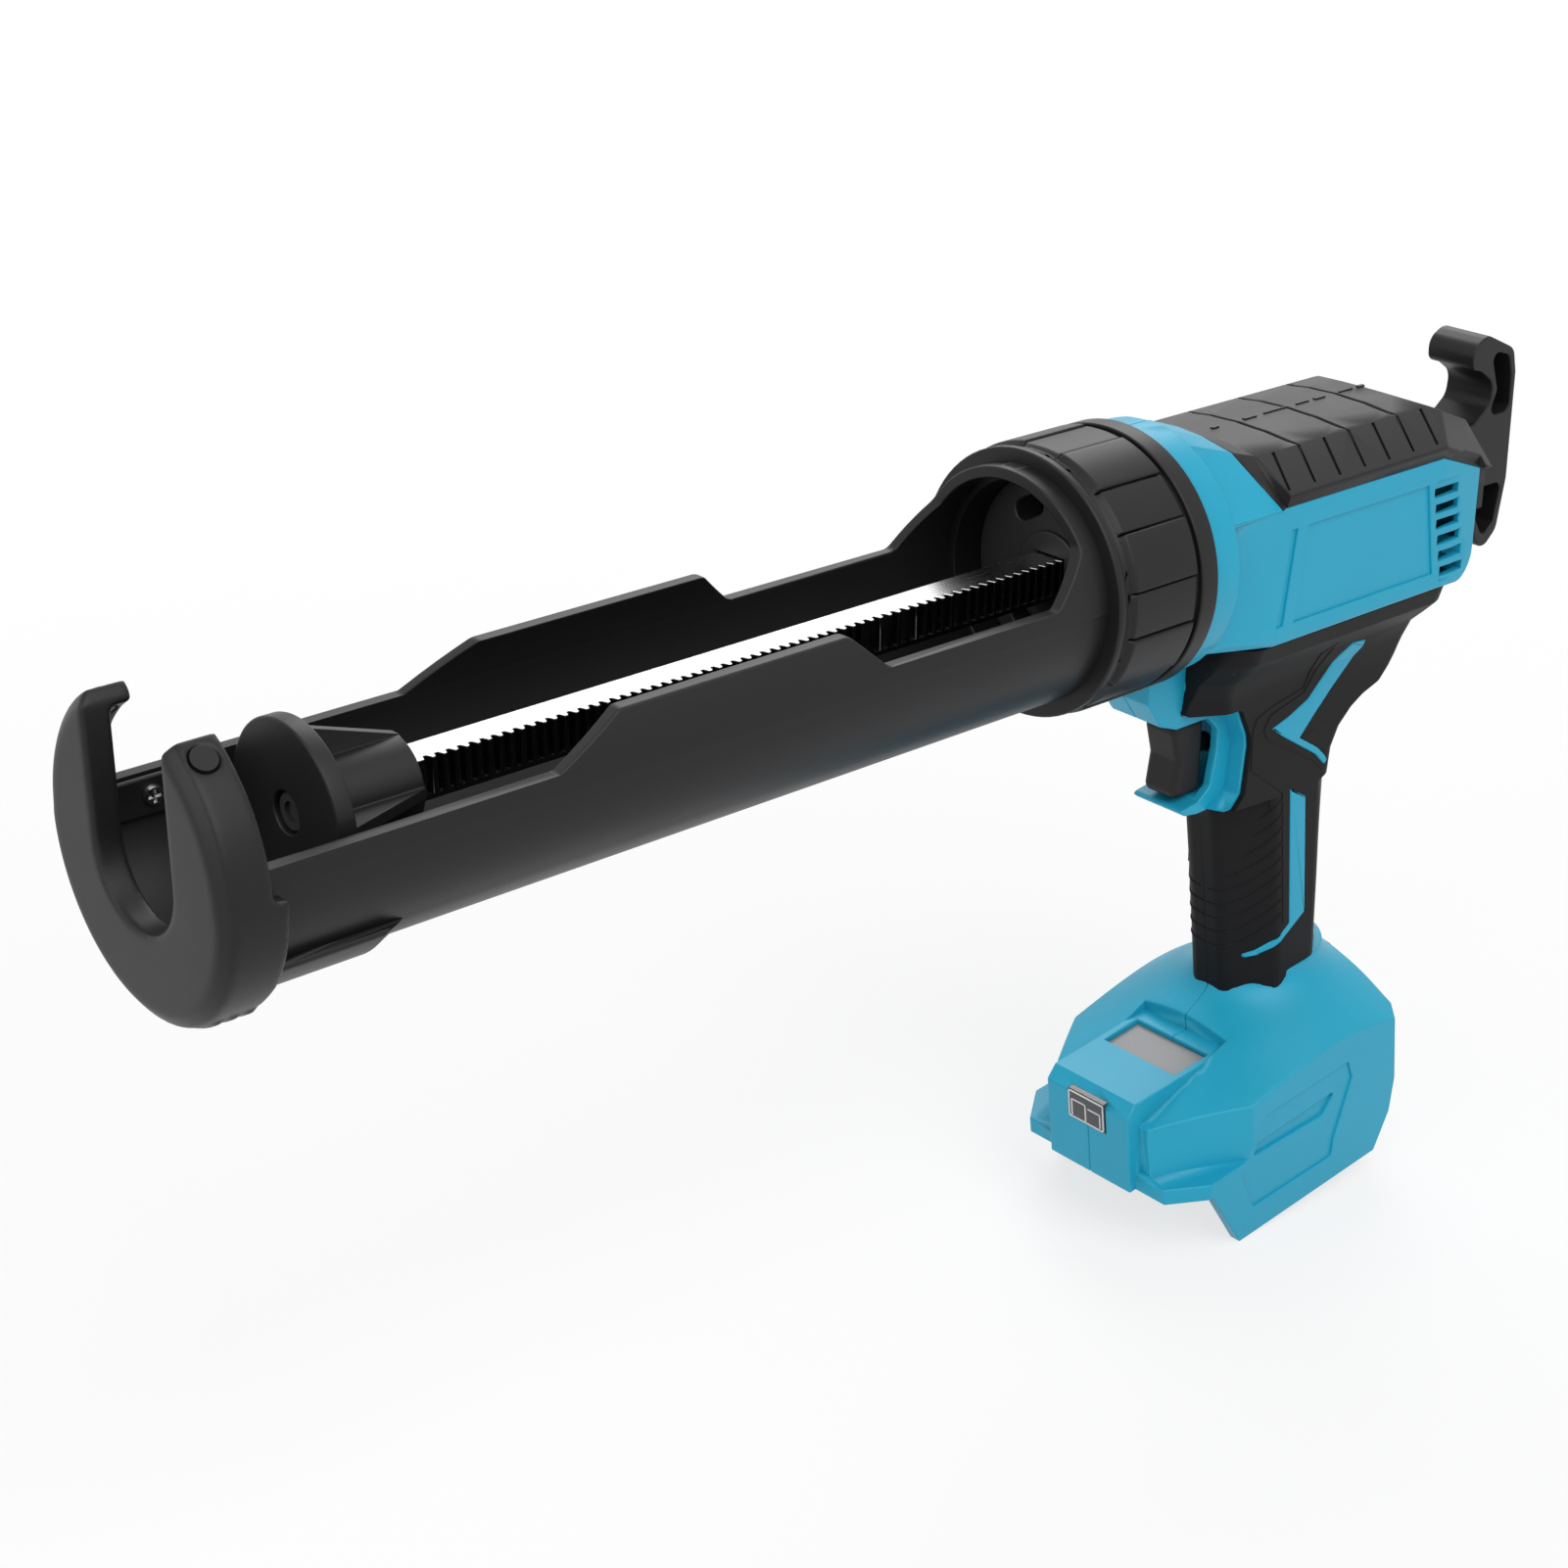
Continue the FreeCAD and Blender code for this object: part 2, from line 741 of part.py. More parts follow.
def make_gear_case():
    disc_rear = bulkhead_face - bulkhead_thickness
    flange_rear = disc_rear - case_flange_thickness
    disc = rod_x(bulkhead_radius, disc_rear - overrun, bulkhead_face)
    boss = rod_x(case_boss_radius, disc_rear, bulkhead_face + case_boss_height)
    flange = rod_x(case_flange_radius, flange_rear, disc_rear)
    top = box(case_rear, flange_rear + overrun, case_right, case_left, top_plate_low, case_top)
    bottom = box(case_rear, flange_rear + overrun, case_right, case_left, case_bottom, bottom_plate_top)
    side = box(case_rear, flange_rear + overrun, case_right, case_right + case_right_wall, case_bottom,
               case_top)
    case = joined([disc, boss, flange, top, bottom, side])
    case = case.cut(rack_hole(free_gap, case_rear - overrun, bulkhead_face + case_boss_height + overrun))
    for angle in oval_hole_angles:
        turn = math.radians(angle)
        centre_y = oval_hole_ring * math.cos(turn)
        centre_z = oval_hole_ring * math.sin(turn)
        reach_y = oval_hole_length / 2 * math.sin(turn)
        reach_z = -oval_hole_length / 2 * math.cos(turn)
        ends = [rod_x(oval_hole_radius, flange_rear - overrun, bulkhead_face + overrun,
                      centre_y + side_sign * reach_y,
                      centre_z + side_sign * reach_z) for side_sign in (-1, 1)]
        middle = box(flange_rear - overrun, bulkhead_face + overrun, centre_y - oval_hole_length / 2,
                     centre_y + oval_hole_length / 2, centre_z - oval_hole_radius,
                     centre_z + oval_hole_radius)
        middle.rotate(V(0, centre_y, centre_z), V(1, 0, 0), angle - 90)
        case = case.cut(middle.multiFuse(ends))
    seats = rod_z(bearing_radius + seat_gap, case_bottom - overrun, case_bottom + bearing_height,
                  pinion_place, pinion_y)
    seats = seats.fuse(rod_z(bearing_radius + seat_gap, case_top - bearing_height, case_top + overrun,
                             pinion_place, pinion_y))
    passing = rod_z(shaft_radius + free_gap, case_bottom - overrun, case_top + overrun, pinion_place,
                    pinion_y)
    output = rod_z(shaft_radius + free_gap, case_bottom - overrun, bottom_plate_top + overrun, motor_x)
    case = case.cut(seats).cut(passing).cut(output)
    for side in (-1, 1):
        y = side * gearbox_screw_ring
        case = case.cut(rod_z(gearbox_screw_radius + seat_gap, case_bottom - overrun, bottom_plate_top,
                              motor_x, y))
        case = case.cut(rod_z(gearbox_screw_head_radius + seat_gap, bottom_plate_top - gearbox_screw_sink,
                              bottom_plate_top + overrun, motor_x, y))
    return case


def make_gearbox_screws():
    screws = []
    seat = bottom_plate_top - gearbox_screw_sink
    for side in (-1, 1):
        y = side * gearbox_screw_ring
        head = rod_z(gearbox_screw_head_radius, seat, seat + gearbox_screw_head, motor_x, y)
        socket = rod_z(gearbox_screw_radius, seat + gearbox_screw_head / 2, seat + 2 * gearbox_screw_head,
                       motor_x, y)
        shank = rod_z(gearbox_screw_radius - seat_gap, case_bottom - gearbox_screw_depth, seat, motor_x,
                      y)
        screws.append(joined([head.cut(socket), shank]))
    return Part.makeCompound(screws)


def make_rack_guides():
    flange_rear = bulkhead_face - bulkhead_thickness - case_flange_thickness
    guides = []
    rear_end = motor_x - motor_pinion_radius - addendum - open_gap
    for start, end in ((flange_rear - guide_length, flange_rear), (case_rear, rear_end)):
        block = box(start, end, case_right + case_right_wall, rack_width / 2 + guide_wall,
                    -rack_height / 2 - guide_wall, top_plate_low)
        guides.append(block.cut(rack_hole(run_gap, start - overrun, end + overrun)))
    return Part.makeCompound(guides)


# Motor and gearbox
def make_gearbox():
    can = rod_z(gearbox_radius, case_bottom - gearbox_length, case_bottom, motor_x)
    can = can.cut(rod_z(shaft_radius + run_gap, case_bottom - output_shaft_depth - free_gap,
                        case_bottom + overrun,
                        motor_x))
    for side in (-1, 1):
        can = can.cut(rod_z(gearbox_screw_radius, case_bottom - gearbox_screw_depth - overrun,
                            case_bottom + overrun,
                            motor_x, side * gearbox_screw_ring))
    return can


def make_motor():
    top = case_bottom - gearbox_length
    can = rod_z(motor_radius, top - motor_length, top, motor_x)
    groove_low = top - motor_length / 2
    groove = rod_z(motor_radius + overrun, groove_low, groove_low + overrun, motor_x)
    groove = groove.cut(rod_z(motor_radius - free_gap, groove_low - overrun, groove_low + 2 * overrun,
                              motor_x))
    return can.cut(groove)


def make_motor_cap():
    top = case_bottom - gearbox_length - motor_length
    cap = rod_z(motor_cap_radius, top - motor_cap_length, top, motor_x)
    tabs = []
    for side in (-1, 1):
        middle = side * motor_cap_radius / 2
        tabs.append(box(motor_x - motor_tab_width / 2, motor_x + motor_tab_width / 2,
                        middle - motor_tab_thickness / 2,
                        middle + motor_tab_thickness / 2, top - motor_cap_length - motor_tab_length,
                        top - motor_cap_length + overrun))
    return joined([cap] + tabs)


# Holder tray and nose cap
def make_tray():
    neck_rear = bulkhead_face - bulkhead_thickness + free_gap
    inner = tray_radius - tray_wall
    tray_front = nose_front - nose_wall - seat_gap
    pipe = tube_x(tray_radius, inner, -overrun, tray_front)
    band = tube_x(tray_radius + rim_band, inner, 0, tray_front)
    reach = tray_radius + overrun
    band = band.common(box(0, tray_front, -reach, reach, rim_seam_height, reach))
    saddle = turned([(saddle_start, inner + tray_wall / 2), (saddle_start, tray_radius),
                     (saddle_start + saddle_ramp, tray_radius + saddle_depth),
                     (nose_front - nose_lower_depth - seat_gap, tray_radius + saddle_depth),
                     (nose_front - nose_lower_depth - seat_gap, inner + tray_wall / 2)])
    saddle = saddle.common(box(0, nose_front, -reach - saddle_depth, reach + saddle_depth,
                               -reach - saddle_depth, saddle_top))
    body = joined([pipe, band, saddle])
    rim_points = [(cup_length, cup_height), (cup_length + cup_height - rim_low, rim_low),
                  (wing_rear_low, rim_low),
                  (wing_rear_high, rim_high), (wing_front_high, rim_high), (wing_front_low, rim_low),
                  (tray_front + 2 * rim_corner, rim_low),
                  (tray_front + 2 * rim_corner, flange_radius + rim_corner),
                  (cup_length, flange_radius + rim_corner)]
    body = body.cut(plate_y(rim_points, -reach, reach, rim_corner))
    flange = tube_x(flange_radius, inner, -flange_thickness, 0)
    neck = tube_x(neck_radius, bulkhead_radius + run_gap, neck_rear, -flange_thickness + seat_gap)
    step = tube_x(neck_radius, inner, -flange_thickness, 0)
    lug_front = collar_front - collar_lug_length - free_gap
    lugs = [turned([(lug_front - neck_lug_length, neck_radius - overrun),
                    (lug_front, neck_radius - overrun),
                    (lug_front, neck_radius + neck_lug_height),
                    (lug_front - neck_lug_length, neck_radius + neck_lug_height)],
                   index * 360 / bayonet_lugs, neck_lug_angle) for index in range(bayonet_lugs)]
    body = joined([body, flange, step, neck] + lugs)
    for side in (-1, 1):
        start, end = sorted((side * (inner - nose_tab_thickness), side * (tray_radius - free_gap)))
        body = body.cut(rod_y(nose_screw_radius, start, end, nose_tab_screw_x, 0))
    return body


def nose_shell(radius, depth):
    rear = nose_front - depth
    return turned([(rear, 0), (rear, radius), (nose_front - nose_chamfer_length, radius),
                   (nose_front, radius - nose_chamfer_depth), (nose_front, 0)])


def nose_plug(radius, length, proud, side):
    plug = Part.makeCylinder(radius, length, V(nose_front - nose_plug_setback,
                                               nose_radius - length + proud, 0), V(0, 1, 0))
    plug.rotate(V(0, 0, 0), V(1, 0, 0), nose_plug_angle)
    return plug if side > 0 else mirrored(plug)


def make_nose_cap():
    reach = nose_radius + overrun
    rear = nose_front - nose_lower_depth
    recess_floor = nose_front - nose_wall
    upper = nose_shell(nose_radius, nose_upper_depth).common(box(rear, nose_front, -reach, reach, 0,
                                                                 prong_top))
    lower = nose_shell(nose_radius + nose_lower_step, nose_lower_depth)
    lower = lower.common(box(rear, nose_front, -reach, reach, -reach, 0))
    recess = rod_x(tray_radius + rim_band + seat_gap, rear - overrun, recess_floor)
    body = upper.fuse(lower).cut(recess)
    ribs = []
    for index in range(nose_rib_count):
        at = rear + nose_rib_width + index * nose_rib_pitch
        inner = nose_radius - overrun
        outer = nose_radius + nose_lower_step + nose_rib_height
        ribs.append(turned([(at - nose_rib_width / 2, inner), (at + nose_rib_width / 2, inner),
                            (at + nose_rib_width / 2, outer), (at - nose_rib_width / 2, outer)],
                           -90 - nose_rib_angle / 2, nose_rib_angle))
    inner = tray_radius - tray_wall
    tab_face = inner - seat_gap
    tabs = tube_x(tab_face, tab_face - nose_tab_thickness, rear - nose_tab_length, recess_floor + overrun)
    tabs = tabs.common(box(rear - nose_tab_length, recess_floor + overrun, -reach, reach,
                           -nose_tab_height / 2, nose_tab_height / 2))
    slot_profile = [(-nose_slot_radius, 0), (nose_slot_radius, 0),
                    (nose_slot_radius, prong_top - prong_edge),
                    (nose_slot_radius + prong_edge, prong_top + overrun),
                    (-nose_slot_radius - prong_edge, prong_top + overrun),
                    (-nose_slot_radius, prong_top - prong_edge)]
    slot = plate_x(slot_profile, rear - overrun, nose_front + overrun)
    slot = slot.fuse(rod_x(nose_slot_radius, rear - overrun, nose_front + overrun))
    body = joined([body] + ribs + tabs.Solids).cut(slot)
    for side in (-1, 1):
        body = body.cut(nose_plug(nose_plug_radius, nose_plug_length, nose_plug_proud + overrun, side))
        start, end = sorted((side * (tab_face - 2 * nose_tab_thickness), side * tray_radius))
        body = body.cut(rod_y(nose_screw_radius + seat_gap, start, end, nose_tab_screw_x, 0))
    return body


def make_nose_plugs():
    length = nose_plug_length - overrun
    return Part.makeCompound([nose_plug(nose_plug_radius - seat_gap, length, nose_plug_proud,
                                        side) for side in (-1, 1)])


def make_nose_screws():
    face = tray_radius - tray_wall - seat_gap - nose_tab_thickness
    face = math.sqrt(face ** 2 - nose_screw_head_radius ** 2)
    screws = []
    for side in (-1, 1):
        start, end = sorted((side * (face - nose_screw_head_height), side * face))
        head = rod_y(nose_screw_head_radius, start, end, nose_tab_screw_x, 0)
        start, end = sorted((side * (face - nose_screw_head_height / 2),
                             side * (tray_radius - tray_wall / 2)))
        shank = rod_y(nose_screw_radius - seat_gap, start, end, nose_tab_screw_x, 0)
        start, end = sorted((side * (face - nose_screw_head_height - overrun),
                             side * (face - nose_screw_head_height / 2)))
        socket = rod_y(nose_screw_radius - free_gap, start, end, nose_tab_screw_x, 0)
        screws.append(joined([head, shank]).cut(socket))
    return Part.makeCompound(screws)


# Lock collar
def make_collar():
    bore = spigot_radius + free_gap
    band_front = collar_rear + collar_band_length
    pad_rear = band_front + collar_groove
    ridge_front = -collar_ridge_place + collar_ridge_width
    ridge_rear = -collar_ridge_place - collar_ridge_width
    ridge_bore = spigot_radius + collar_ridge_height + free_gap
    base = turned([(collar_front, bore),
                   (collar_front, collar_base_radius - collar_bevel_depth + overrun),
                   (collar_front - collar_bevel_length / 2, collar_base_radius),
                   (pad_rear, collar_base_radius),
                   (band_front, collar_base_radius), (band_front, collar_band_radius),
                   (collar_rear, collar_band_radius), (collar_rear, bore), (ridge_rear, bore),
                   (ridge_rear, ridge_bore), (ridge_front, ridge_bore), (ridge_front, bore)])
    pads = []
    under = collar_base_radius - free_gap
    for pair in range(collar_pairs):
        start = collar_first_angle + pair * 360 / collar_pairs
        for radius, angle, offset in ((collar_pad_radius, collar_pad_angle, 0),
                                      (collar_low_pad_radius, collar_low_pad_angle,
                                       (360 / collar_pairs + collar_pad_angle - collar_low_pad_angle) / 2)):
            pads.append(turned([(collar_front - collar_bevel_length / 2, under),
                                (collar_front - collar_bevel_length, radius),
                                (pad_rear, radius), (pad_rear, under)], start + offset, angle))
    lugs = [turned([(collar_front - collar_lug_length, neck_radius + free_gap),
                    (collar_front, neck_radius + free_gap),
                    (collar_front, bore + free_gap), (collar_front - collar_lug_length, bore + free_gap)],
                   index * 360 / bayonet_lugs, collar_lug_angle) for index in range(bayonet_lugs)]
    return joined([base] + pads + lugs)


# Housing
def body_section(inset):
    """Corners of the body's section, from the lower left upwards and round."""
    side = body_half_width - inset
    low = body_low + inset
    shoulder = cover_split - inset * slope
    edge = cover_half_top - inset * slope
    top = cover_shoulder - inset
    crown = cover_crown - inset
    rise = top + crown_rise_share * (crown - top)
    left = [(side, low + body_edge), (side, shoulder), (edge, top), (crown_share * edge, rise)]
    right = [(-y, z) for y, z in reversed(left)]
    return left + [(0, crown)] + right + [(body_edge - side, low), (side - body_edge, low)]


def body_envelope(inset):
    """The nose ring, its faceted transition and the body, drawn in by an inset."""
    ring = nose_ring_radius - inset
    front = [V(nose_ring_rear, ring * math.cos(math.radians(a)),
               ring * math.sin(math.radians(a))) for a in ring_angles]
    rear = [V(body_front, y, z) for y, z in body_section(inset)]
    transition = Part.makeLoft([outline(front), outline(rear)], True, True)
    main = plate_x(body_section(inset), body_rear + inset, body_front)
    solids = [transition, main]
    if inset == 0:
        solids.append(rod_x(ring, nose_ring_rear, nose_ring_front))
    rear = body_rear + inset
    low = body_low + inset
    reach = body_half_width + overrun
    corner = box(rear - overrun, rear + body_rear_round, -reach, reach, low - overrun, low + body_rear_round)
    corner = corner.cut(rod_y(body_rear_round, -reach, reach, rear + body_rear_round, low + body_rear_round))
    side = body_half_width - inset
    taper = plate_z([(body_taper_start, side), (cover_rear - overrun, side - body_taper),
                     (cover_rear - overrun, reach), (body_taper_start, reach)], body_low - overrun,
                    nose_ring_radius)
    return joined(solids).cut(corner).cut(taper).cut(mirrored(taper))


def handle_section(shares, inset):
    drop, front, rear, width, flat, shoulder = shares
    z = handle_top + drop * (handle_bottom - handle_top)
    x0 = handle_front - front * handle_reach - inset
    x1 = handle_front - rear * handle_reach + inset
    reach = width * handle_half_width - inset
    run = shoulder * (x0 - x1)
    side = [(x0, flat * reach), (x0 - run, reach), (x1 + run, reach), (x1, flat * reach)]
    points = [V(x, y, z) for x, y in side] + [V(x, -y, z) for x, y in reversed(side)]
    return outline(points, reach * handle_corner_share)


def handle_loft(inset):
    return Part.makeLoft([handle_section(shares, inset) for shares in handle_shares], True, True)


def handle_mouth():
    """The room in the handle's front that the trigger frame fills."""
    reach = body_half_width + overrun
    return plate_y([frame_point(s) for s in opening_shares], -reach, reach)


def to_foot(shape):
    """Tilts a shape drawn square to the foot into its place under the handle."""
    shape.rotate(V(0, 0, 0), V(0, 1, 0), foot_tilt)
    shape.translate(V(foot_pivot_x, 0, foot_pivot_z))
    return shape


def foot_plan(front, front_share, corner_share, inset):
    half_width = foot_half_width - inset
    rear = foot_rear + inset
    corner_x = front * corner_share
    corner_y = half_width * front_share
    rear_x = rear * rear_corner_share
    rear_y = half_width * rear_width_share
    return [(front, -corner_y), (front, corner_y), (corner_x, half_width), (rear_x, half_width),
            (rear, rear_y),
            (rear, -rear_y), (rear_x, -half_width), (corner_x, -half_width)]


def foot_neck(inset):
    sections = []
    for level, length, width, centre in neck_shares:
        z = level * foot_shoulder - inset * level
        major = length * (foot_front - foot_rear) / 2 - inset
        minor = width * foot_half_width - inset
        x = centre * (foot_front - foot_rear) / 2
        ellipse = Part.Ellipse(V(x, 0, z), max(major, minor), min(major, minor))
        sections.append(Part.Wire(ellipse.toShape()))
    return Part.makeLoft(sections, True, False)


def foot_body(inset):
    upper_plan = foot_plan(foot_front - foot_lip_step - inset, body_front_share, body_corner_share, inset)
    reach = foot_shoulder + inset * slope
    block = plate_z(upper_plan, foot_lip_bottom + inset, reach)
    cap = foot_neck(inset).common(plate_z(upper_plan, reach - overrun, -foot_shoulder))
    clear = box(bezel_rear - inset, foot_front, -bezel_half_width - inset, bezel_half_width + inset,
                bezel_top - inset, -foot_shoulder)
    return joined([block, cap.cut(clear)])


def bezel(inset):
    front = bezel_front - inset
    top = bezel_top - inset
    points = [(bezel_rear + inset, top), (front - bezel_edge, top), (front, top - bezel_edge),
              (front, foot_lip_bottom + inset),
              (bezel_rear + inset, foot_lip_bottom + inset)]
    return plate_y(points, -bezel_half_width + inset, bezel_half_width - inset)


def foot_skirt(side):
    rear = foot_rear * rear_corner_share
    points = [(skirt_front, foot_lip_top), (skirt_front, foot_lip_bottom),
              (skirt_front_low, skirt_bottom),
              (skirt_rear_low, skirt_bottom), (skirt_rear_share * foot_rear, skirt_rear_knee),
              (rear, foot_lip_bottom), (rear, foot_lip_top)]
    start, end = sorted((side * (foot_half_width - skirt_wall), side * foot_half_width))
    skirt = plate_y(points, start, end)
    start, end = sorted((side * (foot_half_width - skirt_wall - rail_depth),
                         side * (foot_half_width - overrun)))
    rail = box(rail_rear, rail_front, start, end, skirt_bottom + rail_lift,
               skirt_bottom + rail_lift + rail_height)
    return skirt.fuse(rail)


def side_cut(shares, depth):
    """A cut of a given depth in the foot's left side."""
    points = [(along * foot_front, drop * skirt_bottom) for along, drop in shares]
    return plate_y(points, foot_half_width - depth, foot_half_width + overrun, overrun)


def frame_point(share):
    return (trigger_frame_front + share[0] * (trigger_frame_rear - trigger_frame_front),
            handle_top + share[1] * (trigger_frame_low - handle_top))


def inlay(shares, inset):
    points = []
    for along, drop in shares:
        points.append((handle_front - along * handle_reach,
                       handle_top + drop * (handle_bottom - handle_top)))
    return plate_y(points, -handle_half_width, handle_half_width, inset)


def screw_places():
    """X and Z of the screws that hold the two halves."""
    places = []
    for along, drop in body_screw_shares:
        places.append((body_front + along * (body_rear - body_front), body_low * drop))
    for along, drop in handle_screw_shares:
        places.append((handle_front - along * handle_reach,
                       handle_top + drop * (handle_bottom - handle_top)))
    return places


def dial_slot(half_width):
    return rod_y(dial_radius + open_gap, -half_width, half_width, dial_x, dial_z)


def dial_band(reach):
    """The strip of the shell that shows between the grips behind the dial."""
    return box(handle_front - handle_reach - reach, dial_band_front, -dial_band_half_width,
               dial_band_half_width,
               dial_band_low, dial_band_top)


def side_reach(z):
    """Half width of the outer skin at a screw's height."""
    if z > handle_top:
        return body_half_width
    share = (z - handle_top) / (handle_bottom - handle_top)
    for upper, lower in zip(handle_shares, handle_shares[1:]):
        if upper[0] <= share <= lower[0]:
            part = (share - upper[0]) / (lower[0] - upper[0])
            return (upper[3] + part * (lower[3] - upper[3])) * handle_half_width
    return handle_half_width


def make_housing():
    """Both halves of the housing as one hollow body, before they are split."""
    spigot = rod_x(spigot_radius, nose_ring_front - wall, spigot_front)
    ridge = rod_x(spigot_radius + collar_ridge_height, -collar_ridge_place - collar_ridge_width / 2,
                  -collar_ridge_place + collar_ridge_width / 2)
    frame = plate_y([frame_point(s) for s in frame_shares], -trigger_frame_half_width,
                    trigger_frame_half_width, trigger_frame_corner)
    core = handle_loft(grip_thickness).cut(handle_mouth())
    pads = inlay(inlay_upper_shares, inlay_proud).fuse(inlay(inlay_lower_shares, inlay_proud))
    pads = pads.fuse(dial_band(overrun)).common(handle_loft(-inlay_proud))
    foot = foot_body(0)
    lip = plate_z(foot_plan(foot_front, lip_front_share, lip_corner_share, 0), foot_lip_bottom,
                  foot_lip_top)
    foot = joined([foot, lip, bezel(0), foot_skirt(1), foot_skirt(-1)])
    rear_wall = plate_z([(foot_rear, -rear_width_share * foot_half_width),
                         (foot_rear, rear_width_share * foot_half_width),
                         (bay_rear, foot_half_width - overrun), (bay_rear, overrun - foot_half_width)],
                        skirt_rear_knee, foot_lip_top)
    foot = to_foot(joined([foot, rear_wall]))
    outer = body_envelope(0).cut(cover_region())
    shell = joined([outer, spigot, ridge, frame, core, pads, foot])
    return shell


def cover_region():
    """Everything above the line where the top cover meets the housing."""
    reach = body_half_width + overrun
    points = [(cover_front_low, cover_split), (cover_front_top, nose_ring_radius + overrun),
              (cover_rear, nose_ring_radius + overrun), (cover_rear, cover_split - cover_edge_drop),
              (body_rear, cover_split - cover_edge_drop), (cover_facet_front, cover_split)]
    return plate_y(points, -reach, reach)


def trigger_well():
    """The room that the trigger slides into."""
    rear = trigger_rear - trigger_travel - overrun - open_gap
    return box(rear, trigger_front, -trigger_half_width - free_gap, trigger_half_width + free_gap,
               trigger_low - free_gap, trigger_top + free_gap)


def housing_cavity():
    body = body_envelope(wall)
    tongue_low = frame_point(opening_shares[0])[1]
    mouth_wall = box(trigger_frame_rear - wall, trigger_frame_front, -body_half_width, body_half_width,
                     trigger_frame_low - wall, tongue_low + wall)
    handle = handle_loft(grip_thickness + wall).cut(mouth_wall)
    bore = rod_x(spigot_radius - wall, nose_ring_rear, spigot_front + overrun)
    gearbox_pass = rod_z(gearbox_radius + free_gap, handle_top - 2 * wall, body_low + 2 * wall, motor_x)
    foot_hollow = foot_plan(foot_front - foot_lip_step - wall, body_front_share, body_corner_share, wall)
    foot = plate_z(foot_hollow, foot_lip_bottom + wall, foot_shoulder - wall)
    neck = foot_neck(wall + free_gap).common(plate_z(foot_hollow, foot_shoulder - wall - overrun,
                                                     -foot_shoulder))
    foot = foot.fuse(neck.cut(box(bezel_rear - wall, foot_front, -bezel_half_width - wall,
                                  bezel_half_width + wall, bezel_top - wall, -foot_shoulder)))
    lamp_room = box(bezel_rear + wall, bezel_front - wall, -bezel_half_width + wall,
                    bezel_half_width - wall,
                    foot_lip_bottom + wall, bezel_top - wall)
    throat = rod_z(shaft_radius, handle_bottom - wall - overrun, handle_bottom + overrun,
                   handle_front - handle_reach / 2)
    plunger_pass = rod_x(plunger_radius + open_gap, switch_front - overrun,
                         trigger_rear - trigger_travel, 0, trigger_middle)
    return (body, handle, bore, gearbox_pass, to_foot(foot), to_foot(lamp_room), throat, trigger_well(),
            plunger_pass)


def make_housing_halves():
    shell = make_housing()
    for cut in housing_cavity():
        shell = shell.cut(cut)
    bosses = []
    holes = []
    for x, z in screw_places():
        reach = side_reach(z) - wall / 2
        if z < handle_top:
            reach -= grip_thickness
        bosses.append(rod_y(screw_boss_radius, -reach, reach, x, z))
        holes.append(rod_y(screw_radius, -reach - 2 * wall, screw_reach, x, z))
        holes.append(rod_y(screw_head_radius + free_gap, -reach - 3 * wall, -reach + screw_head, x, z))
    for x in (board_rear + board_post_inset, board_front - board_post_inset):
        for y in (board_post_inset - board_half_width, board_half_width - board_post_inset):
            bosses.append(to_foot(rod_z(board_post_radius, foot_lip_bottom + wall / 2, board_level, x,
                                        y)))
    shell = joined([shell] + bosses)
    for hole in holes:
        shell = shell.cut(hole)
    window_floor = bezel_top - window_recess - window_thickness - display_height - seat_gap
    window = box(window_rear - seat_gap, window_front + seat_gap, -window_half_width - seat_gap,
                 window_half_width + seat_gap, window_floor, bezel_top + overrun)
    lamp = box(bezel_front + lamp_proud - lamp_depth - lamp_board_thickness - seat_gap,
               bezel_front + overrun,
               -lamp_half_width - seat_gap, lamp_half_width + seat_gap, lamp_low - seat_gap,
               lamp_top + seat_gap)
    shell = shell.cut(to_foot(window)).cut(to_foot(lamp))
    rear_pass = rack_hole(free_gap, body_rear - overrun, body_rear + 2 * wall)
    dial_socket = rod_y(dial_pot_radius + seat_gap, -dial_pot_reach, dial_pot_reach, dial_x, dial_z)
    shell = shell.cut(rear_pass).cut(dial_slot(dial_half_width + free_gap)).cut(dial_socket)
    panel = plate_y([(panel_front_top, panel_top), (panel_rear_top, panel_top),
                     (panel_rear_low, panel_low),
                     (panel_front_low, panel_low)], body_half_width - panel_depth,
                    body_half_width + overrun)
    groove_rear = panel_front_top + panel_groove_gap
    lean = panel_front_low - panel_front_top
    groove = plate_y([(groove_rear, panel_top), (groove_rear + panel_groove_width, panel_top),
                      (groove_rear + lean + panel_groove_width, panel_low),
                      (groove_rear + lean, panel_low)], body_half_width - panel_depth,
                     body_half_width + overrun)
    cuts = [panel, groove]
    for index in range(vent_count):
        z = vent_first - index * vent_pitch
        x = vent_front - index * vent_shift
        slat = box(x - vent_length, x, body_half_width - 2 * wall, body_half_width + overrun,
                   z - vent_height, z)
        cuts.append(slat)
    lean = (vent_count - 1) * vent_shift
    cuts.append(plate_y([(vent_recess_front, vent_recess_top), (vent_recess_front - lean, vent_recess_low),
                         (vent_recess_rear - lean, vent_recess_low), (vent_recess_rear, vent_recess_top)],
                        body_half_width - panel_depth, body_half_width + overrun, body_edge))
    cuts.append(to_foot(side_cut(side_panel_shares, side_panel_depth)))
    cuts.append(to_foot(side_cut(side_slot_shares, side_panel_depth + side_slot_depth)))
    for cut in cuts:
        shell = shell.cut(cut).cut(mirrored(cut))
    return half(shell, 1), half(shell, -1)


